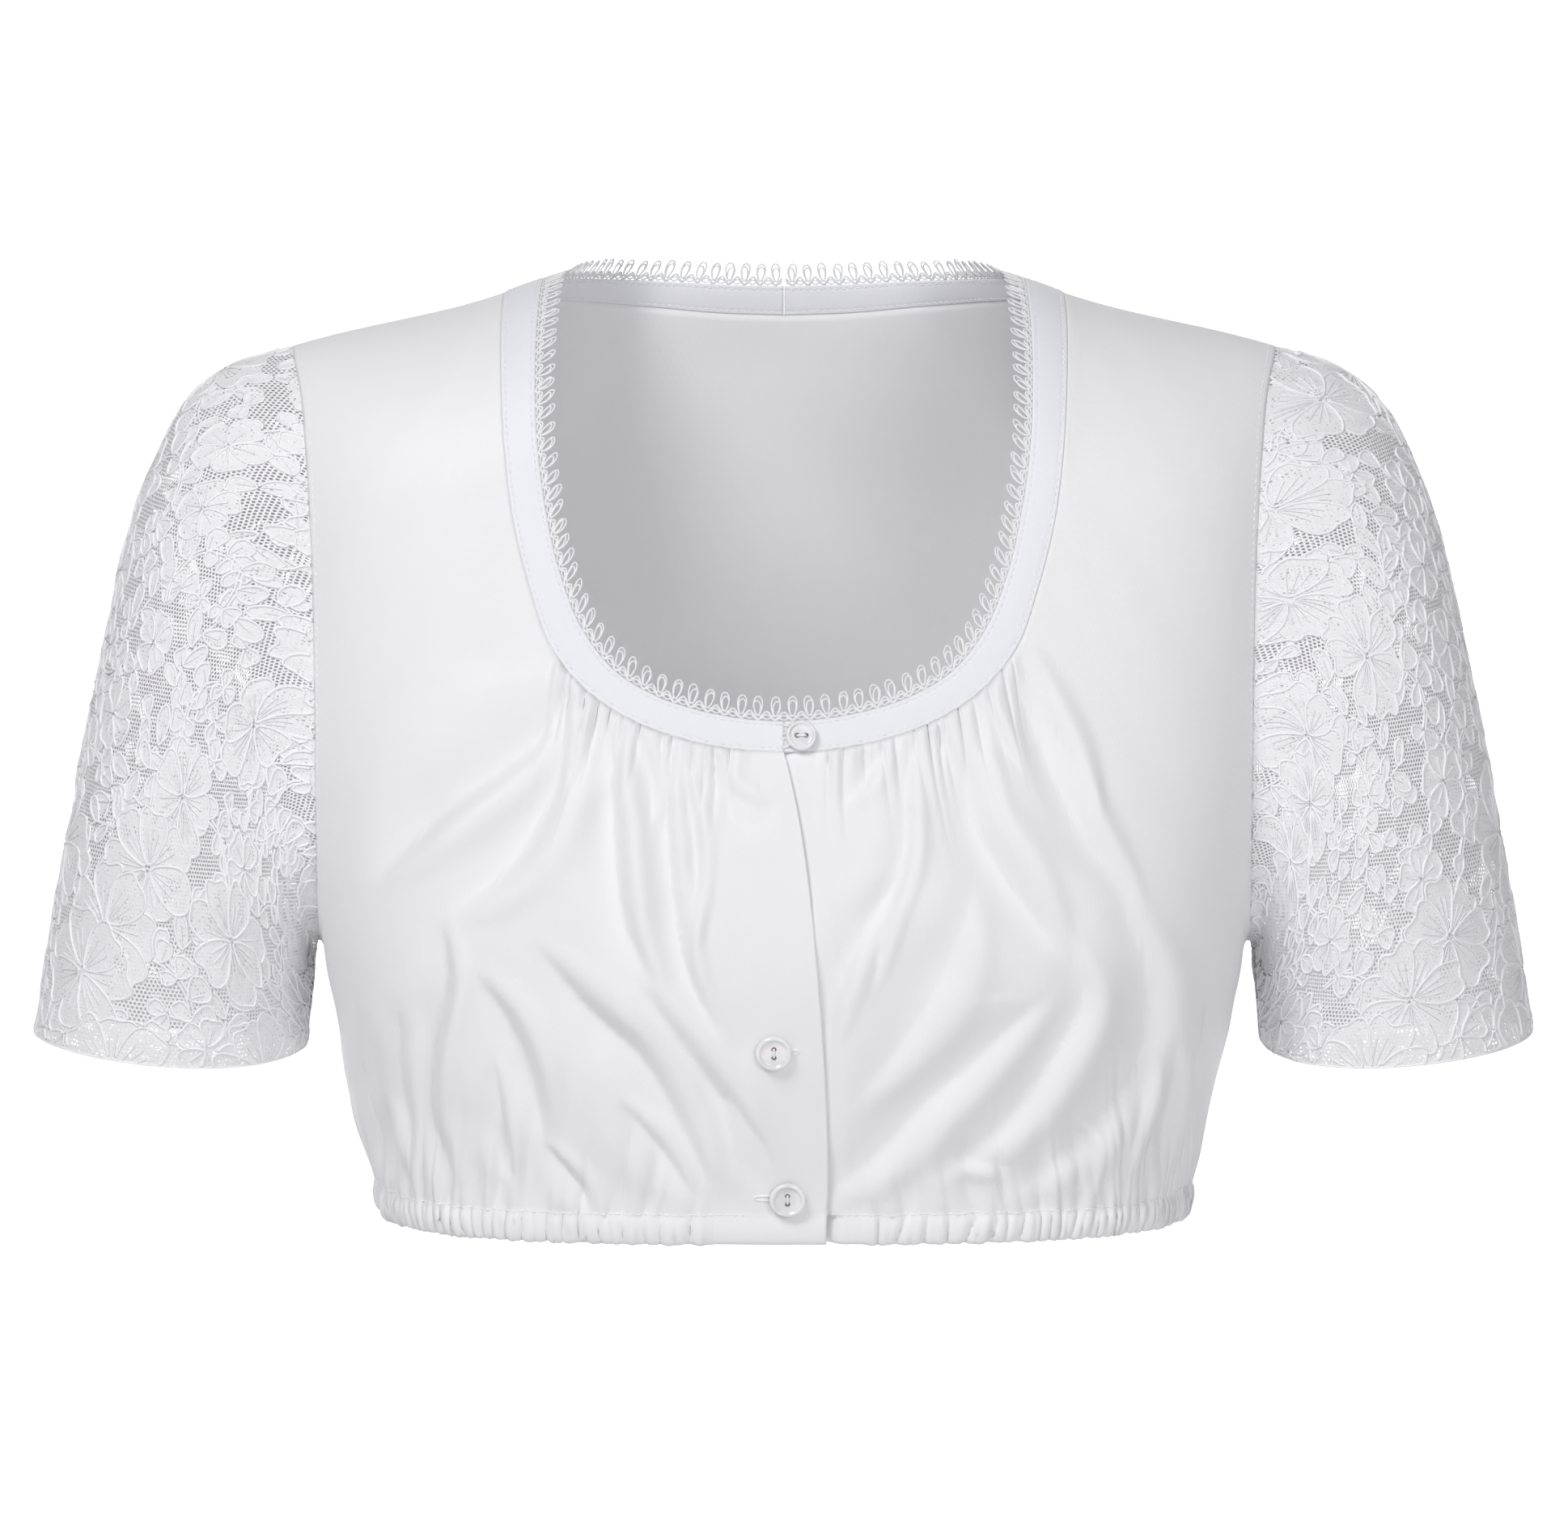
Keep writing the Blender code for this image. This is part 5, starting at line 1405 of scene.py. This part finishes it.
def turnedPiece(name, profile, radius, sides, *placing):
    made = makePiece(name, *turned(profile, radius, sides, *placing), pearl)
    closeEnds(made, sides)
    return made


def button(name, s):
    # the turned button with its two holes drilled; gives back its threads
    foot, first, second, normal = buttonFrame(s)
    made = turnedPiece(name + "_pearl", buttonProfile, s["radius"], 64, foot, first, second, normal)
    for way in (-holeOut, holeOut):
        cutter = turnedPiece("drill", drillProfile, 1.0, 20, foot + first * way, first, second, normal)
        cut = made.modifiers.new("hole", "BOOLEAN")
        cut.operation = "DIFFERENCE"
        cut.solver = "EXACT"
        cut.object = cutter
        graph = bpy.context.evaluated_depsgraph_get()
        mesh = bpy.data.meshes.new_from_object(made.evaluated_get(graph))
        made.modifiers.clear()
        made.data = mesh
        bpy.data.objects.remove(cutter)
    made.data.shade_smooth()
    made.data.set_sharp_from_angle(angle=math.radians(45))
    dress(made, "button_pearl", name)
    threads = []
    out, height = threadLine["out"][:, None], threadLine["height"][:, None]
    for shift in (-0.19, 0.19):
        line = foot + out * first + shift * second + height * normal
        threads.append((bent(line, 20), np.tile(second, (20, 1))))
    return threads


def closeEnds(made, sides):
    # one flat face over each end of a turned shape, and all faces made to point outwards
    work = bmesh.new()
    work.from_mesh(made.data)
    work.verts.ensure_lookup_table()
    for start in (0, len(work.verts) - sides):
        work.faces.new([work.verts[start + i] for i in range(sides)])
    bmesh.ops.recalc_face_normals(work, faces=work.faces[:])
    work.to_mesh(made.data)
    work.free()


def pearlMaterial():
    # Pearl polyester, turned and polished: cloudy layers under a clear gloss
    made, tree, shader = newMaterial("pearlPolyester", "#dcdadb", 0.16, Coat_Weight=0.6, Coat_Roughness=0.05,
                                     Specular_IOR_Level=0.6)
    place = addNode(tree, "TexCoord", {}, "Object")
    swirl = addNode(tree, "TexWave", {"Vector": place, "Scale": 22.0, "Distortion": 7.0, "Detail": 2.0,
                                      "Detail Scale": 1.2}, "Fac", bands_direction="DIAGONAL")
    tone = addNode(tree, "ValToRGB", {"Fac": swirl}, "Color")
    stops = tone.node.color_ramp.elements
    tones = ((0.0, "#e4e3e4"), (0.45, "#f4f3f5"), (0.75, "#faf5f7"), (1.0, "#ecefef"))
    for i, (share, colour) in enumerate(tones):
        stop = stops[i] if i < 2 else stops.new(share)
        stop.position, stop.color = share, linear(colour)
    setInputs(tree, shader, {"Base Color": tone})
    return made


pearl = pearlMaterial()
threadLines = []
for name, s in buttonSettings.items():
    threadLines += button(name, s)
points, faces = tubes(threadLines, [taperedEnds(20, 0.2)] * len(threadLines), 6)
dress(makePiece("button_threads", points, faces, sewingThread), "band_cotton")
print("buttons made")


# stitch lines: neck band, armholes, hem; worked buttonholes and the two thread loops

def panelSeams(middle, normals, ends):
    # the line round the armhole, a little inside its edge, and the one above the hem
    s = panels
    lines = []
    first = s["hemRows"] + int(s["underarmRow"] * s["rows"])
    for end, step in ends:
        edge, inner = middle[first:, end], middle[first:, end + 6 * step]
        out = normals[first:, end + 2 * step]
        lines.append((edge + unit(inner - edge) * 2.5 + out * (s["cloth"] / 2 + 0.1), out))
    out = normals[s["hemRows"]]
    lines.append((middle[s["hemRows"]] + out * (s["cloth"] / 2 + 0.12), out))
    return lines


for piece in frontPieces.values():
    seamLines += panelSeams(piece["middle"], piece["normals"], [(-1, -1)])
seamLines += panelSeams(backMiddle, backNormals, [(-1, -1), (0, 1)])
points, faces = joined([stitches(*line) for line in seamLines])
dress(makePiece("seam_stitches", points, faces, sewingThread), "band_cotton")
print("stitches made", len(faces))


def buttonhole(middle, half, height, lift):
    # a long ring of close stitches: a circle drawn out with squarer ends
    turn = fullTurn(64)
    x = middle + half * np.sign(np.cos(turn)) * np.abs(np.cos(turn)) ** 0.5
    z = height + 0.75 * np.sign(np.sin(turn)) * np.abs(np.sin(turn)) ** 0.6
    points, out = onFront(x, z)
    return points + out * lift, out


holes = [buttonhole(-1.9, 6.7, -249.9, 0.5), buttonhole(-3.4, 6.7, -301.8, 0.6)]
points, faces = tubes(holes, 0.42, 6, closed=True)
dress(makePiece("buttonholes", points, faces, sewingThread), "cotton_satin")

loops = []
for height in (-141.6, -146.0):
    turn = np.linspace(0, math.pi, 20)
    points, out = onFront(-0.4 + 2.6 * np.sin(turn), height + 1.5 * np.cos(turn))
    loops.append((points + out * (0.9 + 0.5 * np.sin(turn))[:, None], out))
points, faces = tubes(loops, 0.36, 6)
dress(makePiece("thread_loops", points, faces, sewingThread), "band_cotton")


# floor and backdrop in one smooth sweep

def addSweep(s):
    # a flat floor that turns up behind in a quarter circle
    size = s["sweep"]
    turn = np.linspace(0, math.pi / 2, 24)
    y = np.concatenate([[size["front"]], size["turn"] + size["radius"] * np.sin(turn),
                        [size["turn"] + size["radius"]]])
    z = np.concatenate([[0], size["radius"] * (1 - np.cos(turn)), [size["height"]]]) + s["floorHeight"]
    x = np.linspace(-size["halfWidth"], size["halfWidth"], 3)
    points = np.stack(np.broadcast_arrays(x[None], y[:, None], z[:, None]), -1)
    material, _, _ = newMaterial("paperSweep", s["sweepColour"], 0.9)
    made = makePiece("paper_sweep", points.reshape(-1, 3), gridFaces(len(y), 3), material)


addSweep(studio)
